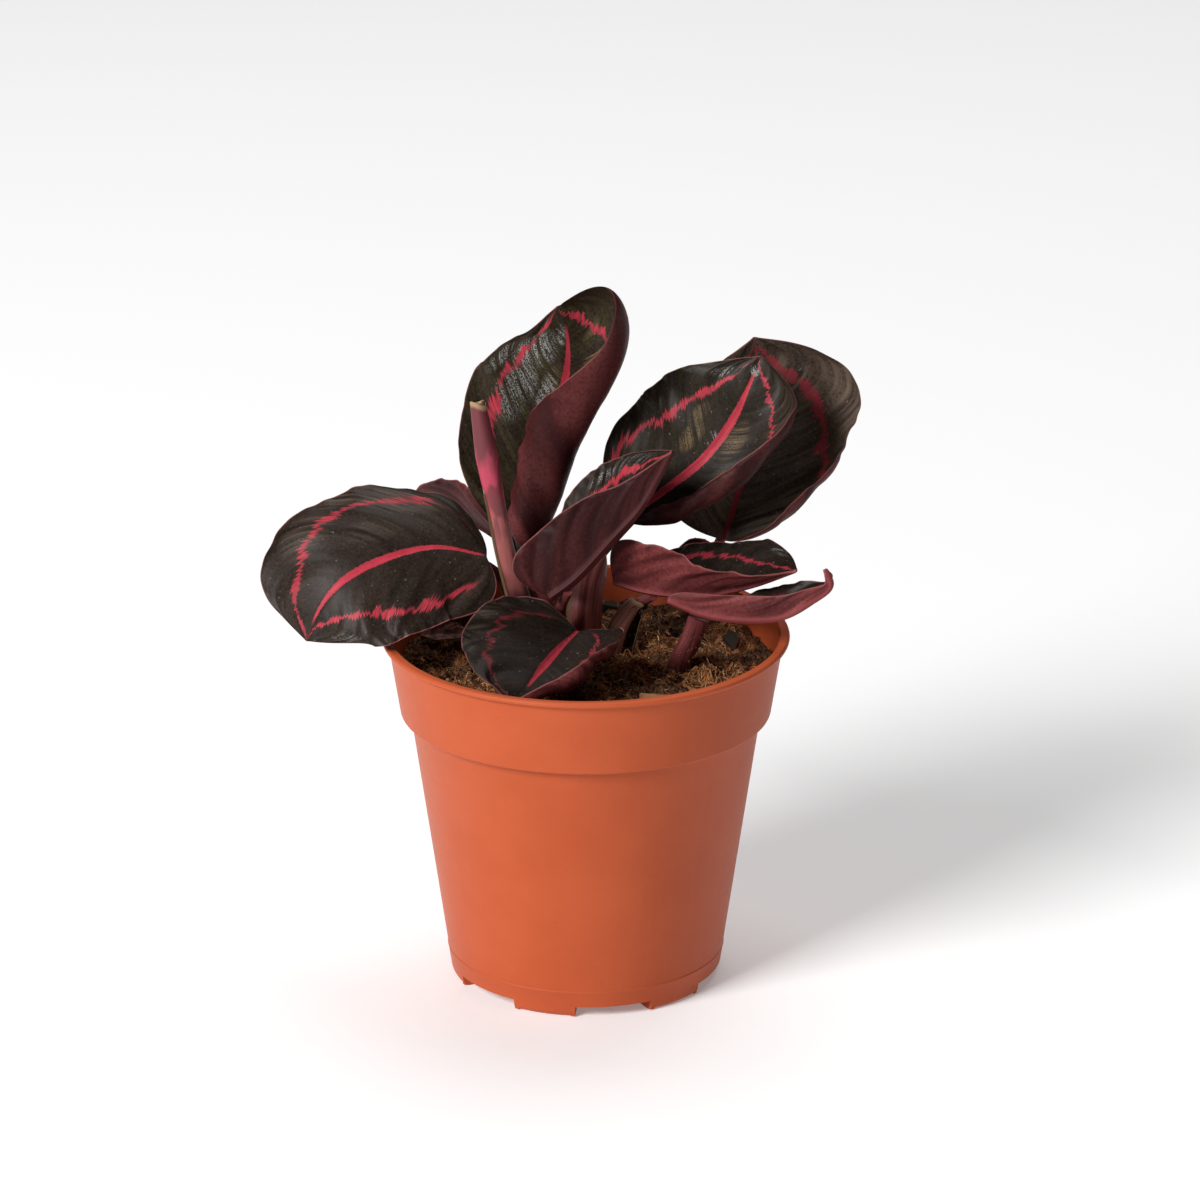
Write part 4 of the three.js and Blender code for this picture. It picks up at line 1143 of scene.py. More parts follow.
SHEATH_INSIDE = inside_finish("sheath_inside", (0.16, 0.1, 0.05), PAPERY)
print("finishes so far", len(bpy.data.materials))

# %% [markdown]
# ## The rolled leaf
# The youngest leaf is still a tube that leans to the left. It is wound one and a half times, a little tighter
# inwards, and a narrow olive strip of sheath lies along its left side. Both follow one path, so the strip stays
# on the roll wherever the path goes.

# %% The rolled leaf in its sheath
ROLL_PATH = [
    (-14, 1, 72), (-14, 1, 84), (-16.5, -2, 101), (-20, -4, 114.5),
    (-22.5, -5, 128), (-25.5, -5, 145), (-27.5, -4, 157.5),
]
ROLL_RADIUS = (2.7, 2.7, 3.3, 2.7, 2.65, 3.1, 2.05)
STRIP_RADIUS = (3.0, 3.0, 3.6, 2.9, 2.8, 3.2, 2.2)
ROLL_INSIDE = (0.2, 0.19, 0.03)
OLIVE_DARK, OLIVE_PALE = (0.085, 0.055, 0.028), (0.15, 0.09, 0.045)

roll = wrap_mesh(
    "rolled_blade", ROLL_PATH, ROLL_RADIUS, turns=1.6, start=200, slant=0.012, inward=0.4, rows=160,
    finishes=(roll_finish(4.0), inside_finish("rolled_inside", ROLL_INSIDE, DRY_RIM)),
)
place("rolled_blade", roll, "leaf_rolled", "rolled")
strip_finish = sheath_finish("sheath_rolled", 7.0, (0.1, 0.02), OLIVE_DARK, OLIVE_PALE)
strip = wrap_mesh(
    "sheath_rolled", ROLL_PATH, STRIP_RADIUS, turns=0.36, start=95, span=(0, 0.74), slant=0.12, inward=0.02,
    thickness=0.15, finishes=(strip_finish, SHEATH_INSIDE),
)
place("sheath_rolled", strip, "leaf_rolled", "rolled")
print("rolled leaf", len(roll.polygons), "faces, its sheath", len(strip.polygons))

# %% [markdown]
# ## The wide sheaths
# The stalks of the right and of the low upper leaf are hidden in sheaths of younger stalks. The right one is
# bright maroon, painted paler still against the shade it stands in, and goes once round; the low one is dull,
# drier and stays open at its side.

# %% Sheaths of the two widened stalks
SHEATHS = {
    "right": (
        dict(turns=1.08, start=212, span=(0, 0.84), slant=0.22, inward=0.1),
        # Painted light: the right sheath's tones are paler than its own, to make up for the shade it stands in.
        dict(seed=6.0, papery=(0.085, 0.04), dark=(0.16, 0.038, 0.036), red=(0.42, 0.125, 0.11)),
    ),
    "low_upper": (
        dict(turns=0.86, start=330, span=(0, 0.88), slant=0.2, inward=0.06),
        dict(seed=8.0, papery=(0.06, 0.12), dark=(0.07, 0.02, 0.016), red=(0.18, 0.068, 0.048)),
    ),
}
for name, (shape, look) in SHEATHS.items():
    sheath = f"sheath_{name}"
    path = stalk_path(LEAVES[name], CORE_RADII[name][-1])
    finishes = (sheath_finish(sheath, **look), SHEATH_INSIDE)
    mesh = wrap_mesh(sheath, path, LEAVES[name]["radius"], finishes=finishes, **shape)
    place(sheath, mesh, f"stem_{name}", "stem")
    print(sheath, len(mesh.polygons), "faces")

# %% [markdown]
# ## Hairs
# The stalks wear short pale hairs that catch the light at their edges. Blender's hair curves would be finer,
# but they don't go into an exported model, so each hair is a thin three-sided spike that leans up the stalk.

# %% Hairs on the stalks
HAIRS_EACH = 150
HAIR_THICK = 0.045
HAIRY_SPANS = {"right": (0.22, 0.6), "low_upper": (0.22, 0.8), "low_lower": (0.3, 0.95)}
HAIRY_END_RADIUS = 1.2


def hairs_mesh(name, path, radii, seed, span, finish):
    rng = np.random.default_rng(seed)
    t = np.sort(rng.uniform(*span, HAIRS_EACH))
    centre, side, front = (v[1:] for v in sweep(path, np.concatenate([[0.0], t])))
    _, heading = spline(path, t)
    radius = np.interp(t, np.linspace(0, 1, len(radii)), radii)
    turn = rng.uniform(0, 2 * np.pi, HAIRS_EACH)
    outward = np.cos(turn)[:, None] * side + np.sin(turn)[:, None] * front
    foot = centre + 0.97 * radius[:, None] * outward
    length = rng.uniform(0.5, 1.2, HAIRS_EACH)[:, None]
    lean = rng.normal(0.3, 0.35, (HAIRS_EACH, 1))
    tip = foot + length * unit(outward + lean * heading)
    beside, ahead = HAIR_THICK * np.cross(outward, heading), HAIR_THICK * heading
    points = np.stack([foot + beside, foot - beside, foot + ahead, tip], axis=1).reshape(-1, 3)
    spike = np.array([(0, 1, 2), (0, 3, 1), (1, 3, 2), (2, 3, 0)])
    faces = (4 * np.arange(HAIRS_EACH)[:, None, None] + spike).reshape(-1, 3)
    return make_mesh(name, points, faces, None, (finish,))


hair_finish, _, hair_shader = finish_named("stalk_hair")
hair_shader.inputs["Base Color"].default_value = (0.32, 0.2, 0.12, 1)
hair_shader.inputs["Roughness"].default_value = 0.5
for seed, (name, span) in enumerate(HAIRY_SPANS.items(), start=60):
    path = stalk_path(LEAVES[name], HAIRY_END_RADIUS)
    mesh = hairs_mesh(f"hairs_{name}", path, LEAVES[name]["radius"], seed, span, hair_finish)
    place(f"hairs_{name}", mesh, f"stem_{name}", "stem")
print("hairs", len(HAIRY_SPANS) * HAIRS_EACH)

# %% [markdown]
# ## The pot
# The pot is injection moulded: a thin tapered cup with a wider collar, a rolled lip and six notches in its
# foot. It is turned like clay on a wheel, from one profile, with many more sides than its solid. The notches
# are cut with a boolean, because their walls don't follow the profile.

# %% The pot's profile
WALL = 1.0
FOOT_RADIUS, FOOT_ROUND = 33.6, 1.9
BODY_LOW, BODY_HIGH = 35.5, 45.6  # radii at the foot and under the collar
COLLAR_BOTTOM, COLLAR_LOW, COLLAR_HIGH, COLLAR_EDGE = 72.4, 48.2, 50.9, 0.7
POT_HEIGHT, BEAD_RADIUS, BEAD_HEIGHT = 93.4, 52.8, 1.5
MOULD_LINE, MOULD_STEP = 7.3, 0.12


def arc(x, z, radius, start, end, count=6):
    """Points of an arc round x, z, from one angle in degrees to another."""
    angles = np.radians(np.linspace(start, end, count))
    return [(x + radius * math.cos(a), z + radius * math.sin(a)) for a in angles]


def body_radius(z):
    return BODY_LOW + (BODY_HIGH - BODY_LOW) * (z - FOOT_ROUND) / (COLLAR_BOTTOM - FOOT_ROUND)


def pot_profile():
    """From the middle of the foot up the outside, over the lip and down the inside."""
    bead = BEAD_HEIGHT / 2
    outside = [(0.0, 0.0), (FOOT_RADIUS, 0.0), *arc(FOOT_RADIUS, FOOT_ROUND, FOOT_ROUND, -80, -5)]
    steps = ((0, -0.3), (MOULD_STEP, -0.1), (MOULD_STEP, 0.1), (0, 0.3))
    line = [(body_radius(MOULD_LINE) + out, MOULD_LINE + up) for out, up in steps]
    below = COLLAR_BOTTOM - 1.2
    under = [(body_radius(below), below), (BODY_HIGH + 0.35, COLLAR_BOTTOM - 0.15)]
    collar = arc(COLLAR_LOW - COLLAR_EDGE, COLLAR_BOTTOM + COLLAR_EDGE, COLLAR_EDGE, -90, 0)
    neck = [
        (COLLAR_HIGH - 0.1, POT_HEIGHT - 2.6 * BEAD_HEIGHT),
        (COLLAR_HIGH + 0.25, POT_HEIGHT - 1.5 * BEAD_HEIGHT),
    ]
    lip = arc(BEAD_RADIUS - bead, POT_HEIGHT - bead, bead, -80, 90, 9)
    inside = [
        (COLLAR_HIGH - WALL + 0.5, POT_HEIGHT - 0.15), (COLLAR_HIGH - WALL, POT_HEIGHT - BEAD_HEIGHT),
        (COLLAR_LOW - WALL, COLLAR_BOTTOM + WALL + 0.3), (BODY_HIGH - WALL, COLLAR_BOTTOM + WALL),
        (BODY_LOW - WALL, WALL + FOOT_ROUND), (FOOT_RADIUS, WALL), (0.0, WALL),
    ]
    return [*outside, *line, *under, *collar, *neck, *lip, *inside]


print("points of the profile", len(pot_profile()))

# %% Turning the profile
POT_SIDES = 256
POT_CREASE = 35  # sharper edges than this many degrees stay sharp


def turned_mesh(name, profile, sides, finish):
    """A closed turned body; its first and last points lie on the axis."""
    ring = np.array(profile[1:-1])
    turn = 2 * np.pi * np.arange(sides) / sides
    x = ring[:, 0][:, None] * np.cos(turn)
    y = ring[:, 0][:, None] * np.sin(turn)
    z = np.broadcast_to(ring[:, 1][:, None], x.shape)
    points = np.stack([x, y, z], axis=-1).reshape(-1, 3)
    rows = len(ring)
    number = np.arange(rows * sides).reshape(rows, sides)
    number = np.hstack([number, number[:, :1]])
    faces = number.ravel()[quads(rows, sides + 1)].tolist()
    points = np.vstack([points, (0, 0, profile[0][1]), (0, 0, profile[-1][1])])
    first = rows * sides
    faces += [(first, number[0, k + 1], number[0, k]) for k in range(sides)]
    faces += [(first + 1, number[-1, k], number[-1, k + 1]) for k in range(sides)]
    return make_mesh(name, points, faces, None, (finish,), crease=POT_CREASE)


print("sides of the pot", POT_SIDES)

# %% [markdown]
# ## Terracotta-coloured plastic
# The plastic is dyed through, satin and a little uneven: faint clouds where it cooled, fine scuffs round the
# body, specks of peat dust. It should look moulded and not fired, so the roughness stays middling and the
# bump very small.

# %% Finish of the pot
POT_ORANGE = (0.485, 0.092, 0.031)
POT_DEEP = (0.455, 0.082, 0.026)
POT_PALE = (0.56, 0.15, 0.075)
SPECK_BROWN = (0.16, 0.04, 0.02)
PLASTIC_SHINE = 0.16


def pot_finish():
    material, tree, shader = finish_named("pot_plastic")
    place_in_pot = object_place(tree)
    split = tree.nodes.new("ShaderNodeSeparateXYZ")
    tree.links.new(place_in_pot, split.inputs[0])
    clouds = cloud(tree, place_in_pot, 45.0)
    flat = triple(tree, split.outputs[0], split.outputs[1], calc(tree, "MULTIPLY", split.outputs[2], 12.0))
    scuffs = cloud(tree, flat, 160.0, 5.0, 0.7)
    grain = cloud(tree, place_in_pot, 2600.0, 2.0)
    specks = step(tree, cloud(tree, place_in_pot, 700.0, 1.0), 0.74, 0.78)
    colour = tinted(tree, step(tree, clouds, 0.3, 0.7), POT_DEEP, POT_ORANGE)
    colour = over(tree, colour, POT_PALE, step(tree, scuffs, 0.62, 0.8), 0.12)
    colour = over(tree, colour, SPECK_BROWN, specks, 0.15)
    height = calc(tree, "ADD", calc(tree, "MULTIPLY", grain, 0.9), scuffs)
    dull = calc(tree, "MULTIPLY_ADD", scuffs, 0.2, 0.34)
    dressed(tree, shader, colour, dull, PLASTIC_SHINE, height, 0.3, 0.16)
    return material


POT_PLASTIC = pot_finish()
print("plastic", POT_ORANGE, "and where it is deeper", POT_DEEP)

# %% [markdown]
# ## Notches and drain holes
# Six notches let the water run out from under the pot, and above each of them a small hole leads inside. Blocks
# and pegs are made for them and taken away from the turned body with a boolean. First a block of wall is added
# round each notch, so that it has a roof.

# %% Blocks, pegs and a way to cut with them
NOTCHES = 6
NOTCH_PHASE = 12  # degrees from the middle of the front to the first one
NOTCH_ANGLE, NOTCH_HEIGHT, NOTCH_DEPTH = 33, 3, 8
NOTCH_INNER = FOOT_RADIUS - NOTCH_DEPTH
DRAIN_HOLE_RADIUS = 2.6
WEDGE_STEPS, PEG_SIDES = 13, 24


def wedge(points, faces, azimuth, inner, outer, bottom, top, angle):
    """Adds a closed block between two radii and two heights."""
    start = len(points)
    turns = np.radians(azimuth + np.linspace(-angle / 2, angle / 2, WEDGE_STEPS))
    for turn in turns:
        for radius, height in ((inner, bottom), (outer, bottom), (outer, top), (inner, top)):
            points.append((radius * math.cos(turn), radius * math.sin(turn), height))
    for k in range(len(turns) - 1):
        a = start + 4 * k
        faces += [(a + 4 + i, a + 4 + (i + 1) % 4, a + (i + 1) % 4, a + i) for i in range(4)]
    last = start + 4 * (len(turns) - 1)
    faces += [(start, start + 1, start + 2, start + 3), (last + 3, last + 2, last + 1, last)]


def peg(points, faces, azimuth, distance, radius, bottom, top):
    """Adds a closed upright cylinder."""
    start, sides = len(points), PEG_SIDES
    cx, cy = distance * math.cos(azimuth), distance * math.sin(azimuth)
    for height in (bottom, top):
        for k in range(sides):
            turn = 2 * math.pi * k / sides
            points.append((cx + radius * math.cos(turn), cy + radius * math.sin(turn), height))
    for k in range(sides):
        a, b = start + k, start + (k + 1) % sides
        faces.append((a, b, b + sides, a + sides))
    faces += [tuple(range(start + sides - 1, start - 1, -1)), tuple(range(start + sides, start + 2 * sides))]


def cut(target, operation, points, faces):
    """Joins or cuts a body for good, and clears the tool away."""
    tool = bpy.data.objects.new("notch_tool", make_mesh("notch_tool", points, faces))
    bpy.context.scene.collection.objects.link(tool)
    modifier = target.modifiers.new("notches", "BOOLEAN")
    modifier.operation, modifier.object, modifier.solver = operation, tool, "EXACT"
    graph = bpy.context.evaluated_depsgraph_get()
    made = bpy.data.meshes.new_from_object(target.evaluated_get(graph))
    target.modifiers.clear()
    target.data = made
    bpy.data.objects.remove(tool)


print("notches", NOTCHES, "of", NOTCH_ANGLE, "degrees")

# %% The pot with its notches and drain holes
pot_mesh = turned_mesh("pot", pot_profile(), POT_SIDES, POT_PLASTIC)
pot_piece = bpy.data.objects.new("nursery_pot", pot_mesh)
bpy.context.scene.collection.objects.link(pot_piece)
roof_outer = body_radius(NOTCH_HEIGHT) - 0.5 * WALL
roofs, notches, holes = ([], []), ([], []), ([], [])
for k in range(NOTCHES):
    azimuth = -90 + NOTCH_PHASE + k * 360 / NOTCHES
    wedge(*roofs, azimuth, NOTCH_INNER - WALL, roof_outer, 0.3, NOTCH_HEIGHT + WALL, NOTCH_ANGLE + 4)
    wedge(*notches, azimuth, NOTCH_INNER, BODY_LOW + 3, -1, NOTCH_HEIGHT, NOTCH_ANGLE)
    middle = NOTCH_INNER + NOTCH_DEPTH / 2
    peg(*holes, math.radians(azimuth), middle, DRAIN_HOLE_RADIUS, NOTCH_HEIGHT - 1, NOTCH_HEIGHT + 3)
cut(pot_piece, "UNION", *roofs)
cut(pot_piece, "DIFFERENCE", *notches)
cut(pot_piece, "DIFFERENCE", *holes)
pot_piece.data.polygons.foreach_set("use_smooth", np.ones(len(pot_piece.data.polygons), bool))
pot_piece.data.set_sharp_from_angle(angle=math.radians(POT_CREASE))
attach(pot_piece, BODY)
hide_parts("pot")
print("pot", len(pot_piece.data.polygons), "faces")

# %% [markdown]
# ## Peat
# The soil is dark peat with lumps, hollows, bark and fibres. Its surface is a disc of rings whose heights
# come from the same waves as the solid's, with finer and finer noise on top. A displace modifier would need a
# texture that the exported model can't read, so the heights are worked out directly.

# %% Height of the soil
SOIL_LEVEL, SOIL_RELIEF = 84.5, 1.5
CHIPS = [  # place, turn and size of each bark chip
    ((18, -25), 12, (9, 3, 2)), ((27, -17), -55, (7, 2, 1.6)), ((-30, -24), -35, (8, 3, 1.6)),
    ((-22, 34), 60, (9, 3, 2)), ((38, 12), -70, (7, 3, 1.6)), ((6, 38), 10, (8, 3, 1.8)),
]
CLODS = [  # place and radius of each lump
    ((13, -3), 5), ((32, -9), 3.5), ((36, 22), 4), ((14, 17), 3.5), ((-30, 6), 4), ((-24, -16), 3.5),
    ((-33, 28), 4), ((4, -36), 3.5),
]
CLOD_SINK = 0.55  # share of a lump's radius that is under the surface
TABLE = 128  # values each way in a table of noise
PEAT_NOISE = ((3.6, 0.7, 1), (1.9, 0.6, 2), (1.0, 0.5, 3), (0.55, 0.3, 4))  # size, height and seed of each


def soil_waves(x, y):
    coarse = np.sin(0.23 * x + 1.3) * np.cos(0.19 * y - 0.4)
    middle = np.sin(0.41 * x - 0.33 * y + 2.1) * np.cos(0.37 * y + 0.21 * x)
    fine = np.sin(0.93 * x + 0.7) * np.sin(0.87 * y + 1.9)
    return SOIL_LEVEL + SOIL_RELIEF * (0.8 * coarse + 0.7 * middle + 0.4 * fine)


def lattice_noise(x, y, size, seed):
    """Smooth noise between -1 and 1 with bumps of about the given size."""
    table = np.random.default_rng(seed).uniform(-1, 1, (TABLE, TABLE))
    gx, gy = x / size + 40, y / size + 40
    ix, iy = np.floor(gx).astype(int), np.floor(gy).astype(int)
    fx, fy = smooth(gx - ix, 0, 1), smooth(gy - iy, 0, 1)
    ix, iy = ix % (TABLE - 1), iy % (TABLE - 1)
    low = table[ix, iy] * (1 - fx) + table[ix + 1, iy] * fx
    high = table[ix, iy + 1] * (1 - fx) + table[ix + 1, iy + 1] * fx
    return low * (1 - fy) + high * fy


def soil_height(x, y):
    height = soil_waves(x, y)
    for (cx, cy), radius in CLODS:
        inside = np.clip(radius**2 - (x - cx) ** 2 - (y - cy) ** 2, 0, None)
        height = np.maximum(height, soil_waves(cx, cy) - CLOD_SINK * radius + np.sqrt(inside))
    for size, amount, seed in PEAT_NOISE:
        height = height + amount * lattice_noise(x, y, size, seed)
    return height


print("soil at the middle is", round(float(soil_height(np.zeros(1), np.zeros(1))[0]), 1), "mm high")

# %% The body of the soil
SOIL_GAP = 0.3  # between soil and wall
SOIL_TOP = 0.57  # how far up the collar the soil reaches
SOIL_SHOULDER = 8  # where it narrows to the space between the notches
SOIL_RINGS, SOIL_SIDES = 150, 420


def soil_mesh(finish):
    """A disc of rings on top of a body that follows the inside of the pot."""
    edge = COLLAR_LOW + SOIL_TOP * (COLLAR_HIGH - COLLAR_LOW) - WALL - SOIL_GAP
    radius = edge * np.sqrt(np.linspace(0.0002, 1, SOIL_RINGS))
    turn = 2 * np.pi * np.arange(SOIL_SIDES) / SOIL_SIDES
    x, y = radius[:, None] * np.cos(turn), radius[:, None] * np.sin(turn)
    inset = WALL + SOIL_GAP
    wall = np.array([
        (COLLAR_LOW - inset, COLLAR_BOTTOM + inset + 0.3),
        (BODY_HIGH - inset, COLLAR_BOTTOM + WALL),
        (body_radius(SOIL_SHOULDER) - inset, SOIL_SHOULDER),
        (NOTCH_INNER - 2 * WALL, SOIL_SHOULDER),
        (NOTCH_INNER - 2 * WALL, inset),
    ])
    low_x, low_y = wall[:, :1] * np.cos(turn), wall[:, :1] * np.sin(turn)
    low_z = np.broadcast_to(wall[:, 1:], low_x.shape)
    top = np.stack([x, y, soil_height(x, y)], axis=-1)
    points = np.vstack([top, np.stack([low_x, low_y, low_z], axis=-1)])
    rows = len(points)
    number = np.arange(rows * SOIL_SIDES).reshape(rows, SOIL_SIDES)
    number = np.hstack([number, number[:, :1]])
    faces = number.ravel()[quads(rows, SOIL_SIDES + 1, turned=True)].tolist()
    faces += [tuple(number[0, :SOIL_SIDES]), tuple(number[-1, SOIL_SIDES - 1 :: -1])]
    return make_mesh("peat", points.reshape(-1, 3), faces, None, (finish,), crease=80)


print("soil", SOIL_RINGS, "rings of", SOIL_SIDES, "faces")

# %% [markdown]
# ## The look of peat
# Moist peat is black in its gaps and brown on its crumbs, and here and there rusty or tan where the fibres lie
# bare. Two noises of different size decide which, and a third one breaks everything up. A photograph of soil
# would repeat, and this doesn't.

# %% Finish of the peat
PEAT_BLACK = (0.008, 0.0042, 0.0026)
PEAT_BROWN = (0.2, 0.086, 0.038)
PEAT_ORANGE = (0.5, 0.19, 0.055)
PEAT_TAN = (0.43, 0.25, 0.115)
ORANGE_CLUMPS = [((12, -4), 8), ((31, -10), 5), ((-26, -20), 5), ((36, 20), 5)]  # place and radius
PEAT_SHINE = 0.2


def peat_finish():
    """Black in the gaps, brown on the crumbs, with rusty and tan places."""
    material, tree, shader = finish_named("peat")
    there = object_place(tree)
    coarse = cloud(tree, there, 120.0, 3.0, 0.6)
    fine = cloud(tree, there, 1000.0, 5.0, 0.75)
    finest = cloud(tree, there, 2600.0, 3.0, 0.7)
    rusty = calc(tree, "MULTIPLY", step(tree, coarse, 0.48, 0.62), step(tree, finest, 0.42, 0.6))
    for middle, radius in ORANGE_CLUMPS:
        node = tree.nodes.new("ShaderNodeVectorMath")
        node.operation = "DISTANCE"
        tree.links.new(there, node.inputs[0])
        node.inputs[1].default_value = (*(c * MM for c in middle), SOIL_LEVEL * MM)
        near = step(tree, node.outputs["Value"], radius * MM, 0.6 * radius * MM)
        rusty = calc(tree, "MAXIMUM", rusty, calc(tree, "MULTIPLY", near, step(tree, finest, 0.38, 0.56)))
    pale = calc(tree, "MULTIPLY", step(tree, coarse, 0.5, 0.36), step(tree, finest, 0.56, 0.68))
    colour = tinted(tree, step(tree, fine, 0.4, 0.62), PEAT_BLACK, PEAT_BROWN)
    colour = over(tree, colour, PEAT_ORANGE, rusty, 0.85)
    colour = over(tree, colour, PEAT_TAN, pale, 0.6)
    height = calc(tree, "ADD", fine, calc(tree, "MULTIPLY", finest, 0.5))
    dressed(tree, shader, colour, 0.95, PEAT_SHINE, height, 1.0, 0.9)
    return material


peat = place("peat", soil_mesh(peat_finish()), "soil", "soil")
print("peat", len(peat.data.polygons), "faces")

# %% [markdown]
# ## Fibres, bark and crumbs
# What makes soil read as soil is the loose stuff on it. Each fibre is a thin bent tube that lies on the
# surface, each chip a split flake with ragged ends. They could be scattered as instances, but one mesh for
# each kind is simpler to hand on. All draws are seeded, so the soil is the same every time.

# %% Places on the soil
TUFTS = [  # frizzy places and their radii
    ((12, -5), 8), ((32, -10), 7), ((37, 20), 6), ((20, 14), 6), ((-28, -20), 6), ((38, -22), 6),
]


def soil_spots(count, rng, limit, tufted=0.0):
    """Seeded places on the soil; a share of them crowds on the tufts."""
    spots = []
    while len(spots) < count:
        if rng.uniform() < tufted:
            (x, y), spread = TUFTS[rng.integers(len(TUFTS))]
            x, y = x + rng.normal(0, 0.5 * spread), y + rng.normal(0, 0.5 * spread)
        else:
            x, y = rng.uniform(-limit, limit, 2)
        if math.hypot(x, y) < limit:
            spots.append((x, y))
    return np.array(spots)


print("tufts", len(TUFTS))

# %% Fibres
FIBRES = 2300
FIBRE_STEPS, FIBRE_SIDES = 8, 4
FIBRE_LIMIT = 47  # no fibre reaches further from the pot's axis
TUFTED = 0.55  # share of the fibres that lies on the tufts


def fibre_points(x, y, rng):
    """A bent line that starts on the soil and comes back to it."""
    length, heading = rng.gamma(2.2, 1.3) + 1.2, rng.uniform(0, 2 * np.pi)
    steps = FIBRE_STEPS
    bend = rng.normal(0, 0.4)
    lift = abs(rng.normal(0, 0.7))
    xs, ys = [], []
    for _ in range(steps):
        xs.append(x)
        ys.append(y)
        heading += bend + rng.normal(0, 0.35)
        x += math.cos(heading) * length / steps
        y += math.sin(heading) * length / steps
    share = np.linspace(0, 1, steps)
    z = soil_height(np.array(xs), np.array(ys)) + 0.05 + lift * np.sin(np.pi * share)
    return np.stack([xs, ys, z], axis=-1)


def strand(points, faces, line, thick):
    """Adds a thin tapered tube along a line of points."""
    start, count, sides = len(points), len(line), FIBRE_SIDES
    heading = unit(np.gradient(line, axis=0))
    side = unit(np.cross(heading, (0.31, 0.17, 0.93)))
    front = np.cross(heading, side)
    for k in range(count):
        radius = thick * (0.35 + 0.65 * math.sin(math.pi * min(max(k / (count - 1), 0.12), 0.88)))
        for j in range(sides):
            turn = 2 * math.pi * j / sides
            points.append(line[k] + radius * (math.cos(turn) * side[k] + math.sin(turn) * front[k]))
    for k in range(count - 1):
        for j in range(sides):
            a, b = start + k * sides + j, start + k * sides + (j + 1) % sides
            faces.append((a, b, b + sides, a + sides))
    faces.append(tuple(range(start + sides - 1, start - 1, -1)))
    faces.append(tuple(range(start + (count - 1) * sides, start + count * sides)))


def fibres_mesh(finish):
    rng = np.random.default_rng(11)
    points, faces = [], []
    for x, y in soil_spots(FIBRES, rng, 45.5, TUFTED):
        line = fibre_points(x, y, rng)
        if np.hypot(line[:, 0], line[:, 1]).max() < FIBRE_LIMIT:
            strand(points, faces, line, rng.uniform(0.05, 0.13) * (1.6 if rng.uniform() < 0.06 else 1))
    return make_mesh("fibres", np.array(points), faces, None, (finish,), crease=60)


print("fibres at most", FIBRES)

# %% Chips and crumbs
CRUMBS = 700
CHIP_SIDES, CRUMB_SIDES = 11, 7


def flake(points, faces, centre, turn, size, rng, sides):
    """Adds an uneven split chip."""
    start = len(points)
    length, width, height = size
    tilt = rng.normal(0, 0.2, 2)
    for level in (-0.5, 0.5):
        for k in range(sides):
            angle = 2 * math.pi * k / sides
            wobble = rng.uniform(0.75, 1.1)
            x = 0.5 * length * math.copysign(abs(math.cos(angle)) ** 0.6, math.cos(angle)) * wobble
            y = 0.5 * width * math.copysign(abs(math.sin(angle)) ** 0.6, math.sin(angle)) * wobble
            z = level * height * rng.uniform(0.6, 1.1) + tilt[0] * x + tilt[1] * y
            turned_x = x * math.cos(turn) - y * math.sin(turn)
            turned_y = x * math.sin(turn) + y * math.cos(turn)
            points.append(centre + (turned_x, turned_y, z))
    for k in range(sides):
        a, b = start + k, start + (k + 1) % sides
        faces.append((a, b, b + sides, a + sides))
    faces.append(tuple(range(start + sides - 1, start - 1, -1)))
    faces.append(tuple(range(start + sides, start + 2 * sides)))


def crumbs_mesh(finish):
    rng = np.random.default_rng(5)
    points, faces = [], []
    for (x, y), turn, size in CHIPS:
        z = soil_waves(x, y) + 0.35 * size[2]
        flake(points, faces, np.array([x, y, z]), math.radians(turn), size, rng, CHIP_SIDES)
    for x, y in soil_spots(CRUMBS, rng, 46.0):
        z = soil_height(np.array([x]), np.array([y]))[0] + 0.1
        size = rng.uniform(0.5, 2.0), rng.uniform(0.4, 1.1), rng.uniform(0.3, 0.9)
        flake(points, faces, np.array([x, y, z]), rng.uniform(0, 6.3), size, rng, CRUMB_SIDES)
    return make_mesh("crumbs", np.array(points), faces, None, (finish,), crease=25)


print("chips", len(CHIPS), "and crumbs", CRUMBS)

# %% [markdown]
# ## Tones of the loose bits
# No two crumbs have the same colour. Blender gives every separate part of a mesh a number of its own, and this
# number picks one of four tones. Single objects with single materials would do the same, but three thousand of
# them would be slow.

# %% Finish of fibres and crumbs
def scatter_finish(name, scale, *tones):
    """Every loose bit takes its own tone, from the darkest to the palest of four."""
    material, tree, shader = finish_named(name)
    island = tree.nodes.new("ShaderNodeNewGeometry").outputs["Random Per Island"]
    noise = cloud(tree, object_place(tree), scale)
    colour = tinted(tree, step(tree, island, 0.2, 0.4), tones[0], tones[1])
    colour = tinted(tree, step(tree, island, 0.5, 0.7), colour, tones[2])
    colour = tinted(tree, step(tree, island, 0.86, 0.97), colour, tones[3])
    colour = over(tree, colour, tones[0], step(tree, noise, 0.4, 0.7), 0.5)
    dressed(tree, shader, colour, 0.85, 0.25, noise, 0.5, 0.3)
    return material


FIBRE_FINISH = scatter_finish(
    "peat_fibre", 900.0, (0.05, 0.019, 0.009), (0.31, 0.108, 0.035), (0.52, 0.215, 0.072), (0.74, 0.49, 0.24))
CRUMB_FINISH = scatter_finish(
    "bark_crumb", 700.0, (0.012, 0.006, 0.003), (0.09, 0.038, 0.016), (0.32, 0.12, 0.04), (0.5, 0.29, 0.14))
fibres = place("peat_fibres", fibres_mesh(FIBRE_FINISH), "soil", "soil")
crumbs = place("bark_crumbs", crumbs_mesh(CRUMB_FINISH), "soil", "soil")
print("fibres", len(fibres.data.polygons), "faces, crumbs", len(crumbs.data.polygons))

# %% [markdown]
# ## What has died back
# At the left a stalk was cut, and its hollow rest has dried to cream and brown. A strip of withered leaf lies
# on the soil in front of it.

